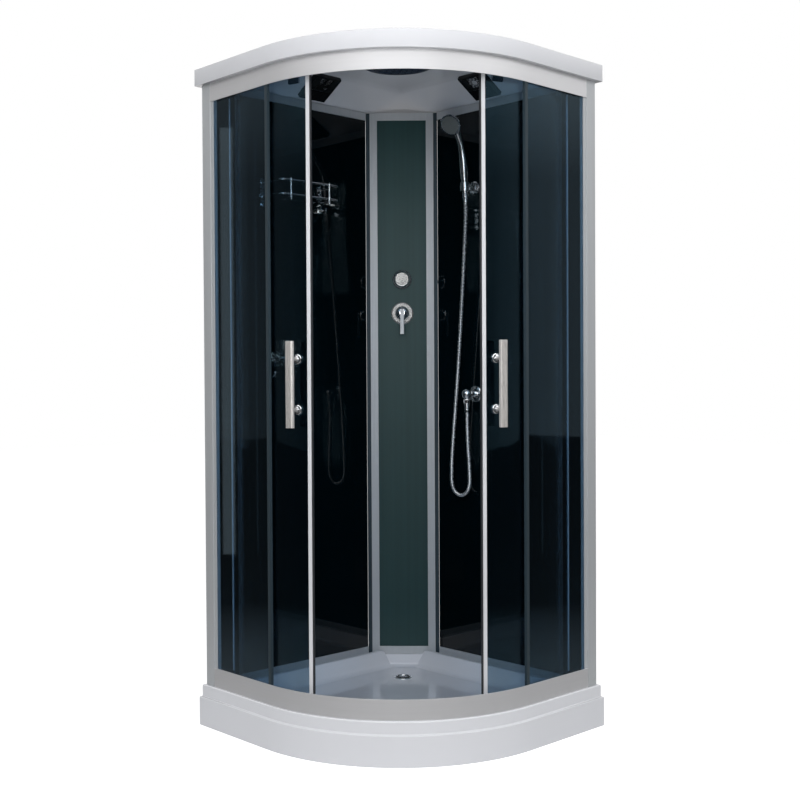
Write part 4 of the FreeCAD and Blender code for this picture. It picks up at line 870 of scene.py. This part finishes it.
for name, place in (("fan_grille", fan_place), ("vent_grille", vent_place)):
    eye = place @ Matrix.Translation((0, -eye_down, 0))
    housing = [turned([(half_side * math.sqrt(2), up) for half_side, up in (
        (0.0465, 0.0003), (0.0540, 0.0003), (0.0540, 0.0125), (0.0518, 0.0165), (0.0500, 0.0180),
        (0.0485, 0.0180), (0.0465, 0.0160))], place @ Matrix.Rotation(math.radians(45), 4, "Z"), 4,
        hollow=True)]
    housing.append(drawn(oblong(-opening, opening, -0.0040, 0.0040), 0.0045,
                         place @ Matrix.Translation((0, 0.002, 0.0135))))
    housing += [drawn(oblong(-opening, opening, -0.0011, 0.0011), 0.0060, place
                      @ Matrix.Translation((0, slat_low + slat_pitch * step, 0.0120))
                      @ Matrix.Rotation(slat_tilt, 4, "X")) for step in range(6)]
    housing += [turned([(radius - 0.0010, 0.0135), (radius + 0.0010, 0.0135),
                        (radius + 0.0010, 0.0155), (radius - 0.0010, 0.0155)], eye, 48,
                       hollow=True) for radius in (0.0065, 0.0120, 0.0175, eye_radius)]
    housing += [drawn(oblong(-0.0009, 0.0009, -eye_radius, eye_radius), 0.0018,
                      eye @ Matrix.Translation((0, 0, 0.0136))
                      @ Matrix.Rotation(math.pi * step / 4, 4, "Z")) for step in range(4)]
    housing += [drawn(oblong(eye_radius * side, opening * side, -eye_radius, eye_radius), 0.0020,
                      eye @ Matrix.Translation((0, 0, 0.0130))) for side in (-1, 1)]
    finished(round_off(joined(*housing), 0.0004, 1), name, black_plastic,
             stands_for=name)
studs = [turned([(0.0034, 0.0130), (0.0034, 0.0160), (0.0026, 0.0168), (0.0006, 0.0170)], eye
                @ Matrix.Translation((stud_ring * math.cos(turn), stud_ring * math.sin(turn), 0)),
                16) for turn in turns(9)]
dust_cap = turned([(0.0105, 0.0125), (0.0108, 0.0150), (0.0090, 0.0166), (0.0050, 0.0174),
                   (0.0006, 0.0176)], eye, 40)
finished(joined(dust_cap, *studs), "vent_studs", satin_aluminium,
         stands_for="vent_grille")
finished(round_off(made_after("fan_rotor"), 0.0004, 1), "fan_rotor", black_plastic,
         "fan", "fan_rotor")


# ---- Rails over and under the glass.
# Curved aluminium extrusions, satin anodised: the upper one holds the doors' track, the
# lower one a glazing pocket and a guide for the doors' feet.
rail_finish = Finish("rail_aluminium", (0.74, 0.74, 0.755), 0.42, 0.75)
rail_finish.grain(0.0009, (40, 40, 1), rough=(0.39, 0.45), tone=0.01)
for name in ("bottom_rail", "top_rail"):
    finished(round_off(made_after(name), 0.0010, 2), name, rail_finish,
             stands_for=name)


# ---- Fixed panes.
# Two sheets of 5 mm grey-tinted glass in the posts and the rails, each with a dark
# aluminium strip down its free edge. Light passes the glass straight, so that its shadow
# is as tinted as it is.
tint, shade, sheen = (0.40, 0.50, 0.57), (0.60, 0.74, 0.86), (0.35, 0.72, 0.95, 1)
tinted_glass = Finish("tinted_glass", tint, 0.02, Transmission_Weight=1.0, IOR=1.45,
                      Specular_Tint=sheen)
tinted_glass.grain(0.15, rough=(0.01, 0.03))
path = tinted_glass.node("ShaderNodeLightPath").socket.node.outputs
lit = (Reading(tinted_glass, path["Is Shadow Ray"])
       + Reading(tinted_glass, path["Is Diffuse Ray"]))
tinted_glass.plug(
    tinted_glass.tree.nodes["Material Output"].inputs["Surface"],
    tinted_glass.node("ShaderNodeMixShader", {
        0: lit, 1: Reading(tinted_glass, tinted_glass.shader.outputs[0]),
        2: tinted_glass.node("ShaderNodeBsdfTransparent", {"Color": (*shade, 1)})}))
for side in ("left", "right"):
    keep("fixed_glass_" + side, tinted_glass)
    name = "fixed_edge_strip_" + side
    finished(round_off(made_after(name), 0.0008, 2), name, slate,
             stands_for=name)


# ---- Doors.
# Curved tinted panes with white-grey strips pushed on their edges, a black magnetic seal
# down the leading edge, chromed roller hangers above and guides below, and a flat
# brushed steel handle on two posts.
strip_finish = Finish("door_strip", (0.64, 0.65, 0.68), 0.30)
strip_finish.grain(0.0012, (1, 1, 60), rough=(0.22, 0.38), deep=0.00002, tone=0.03)
brushed_steel = Finish("brushed_steel", (0.66, 0.64, 0.62), 0.34, 0.6)
brushed_steel.grain(0.0005, (1, 1, 80), rough=(0.20, 0.42), deep=0.00002, tone=0.04)
white_nylon = Finish("white_nylon", (0.74, 0.74, 0.72), 0.4)
white_nylon.grain(0.002, rough=(0.34, 0.48), deep=0.00005, tone=0.02)
post_up, half_grip, clamp_low, clamp_high, clamp_lift = 0.0735, 0.125, 1.9, 1.945, 0.0175
grip_out, grip_along, grip_up, out_x, out_y = -0.39660, 0.00864, 1.073, -0.95757, -0.28819
outer_rosette = [(0.0048, 0.0002), (0.0134, 0.0002), (0.0140, 0.0010), (0.0138, 0.0030),
                 (0.0122, 0.0046), (0.0085, 0.0050), (0.0066, 0.0060), (0.0062, 0.0090),
                 (0.0048, 0.0092)]
inner_rosette = [(0.0048, -0.0054), (0.0134, -0.0054), (0.0140, -0.0062), (0.0138, -0.0110),
                 (0.0122, -0.0128), (0.0090, -0.0135), (0.0086, -0.0180), (0.0048, -0.0190)]


def from_the_middle(strip):
    """How far a strip of either door stands from the doorway's middle."""
    return abs(sum(vertex.co.y - vertex.co.x for vertex in strip.data.vertices)
               ) / len(strip.data.vertices)


for side in ("left", "right"):
    body = "door_" + side
    keep("door_glass_" + side, tinted_glass)
    strips = made_after("door_edge_strips_" + side)
    take_up(strips)
    bpy.ops.mesh.separate(type="LOOSE")
    for part, name, finish in zip(sorted(bpy.context.selected_objects, key=from_the_middle),
                                  ("seal", "lead_strip", "tail_strip"),
                                  (rubber, strip_finish, strip_finish)):
        finished(round_off(part, 0.0010, 2), "door_%s_%s" % (name, side), finish,
                 body,
                 "door_edge_strips_" + side)
    fittings = round_off(made_after("door_fittings_" + side), 0.0010, 2)
    for vertex in fittings.data.vertices:
        if clamp_low < vertex.co.z < clamp_high:
            vertex.co.z += clamp_lift
    finished(fittings, "door_fittings_" + side, chrome, body, "door_fittings_" + side)
    if side == "left":
        grip = looking((grip_out, grip_along, grip_up), (out_x, out_y, 0))
    else:
        grip = looking((grip_along, grip_out, grip_up), (out_y, out_x, 0))
    bar = drawn([(-0.0125, -0.0375), (-0.0125, -0.0455), (-0.0095, -0.0485), (0.0080, -0.0485),
                 (0.0125, -0.0440), (0.0125, -0.0375)], 2 * half_grip,
                grip @ Matrix.Rotation(math.radians(-90), 4, "X")
                @ Matrix.Translation((0, 0, -half_grip)))
    round_off(bar, 0.0008, 2, sharper=20)
    posts = [grip @ Matrix.Translation((0, up, 0)) for up in (-post_up, post_up)]
    stems = [turned([(0.0050, -0.0190), (0.0050, 0.0400)], post, 24) for post in posts]
    finished(joined(bar, *stems), "handle_" + side, brushed_steel, body,
             "handle_" + side)
    rosettes = [turned(rosette, post, 48, hollow=True)
                for post in posts for rosette in (outer_rosette, inner_rosette)]
    finished(joined(*rosettes), "handle_rosettes_" + side, chrome, body,
             "handle_" + side)
    for end in ("front", "rear"):
        name = "%s_wheel_%s" % (end, side)
        finished(round_off(made_after(name), 0.0010, 2), name, white_nylon,
                 name, name)
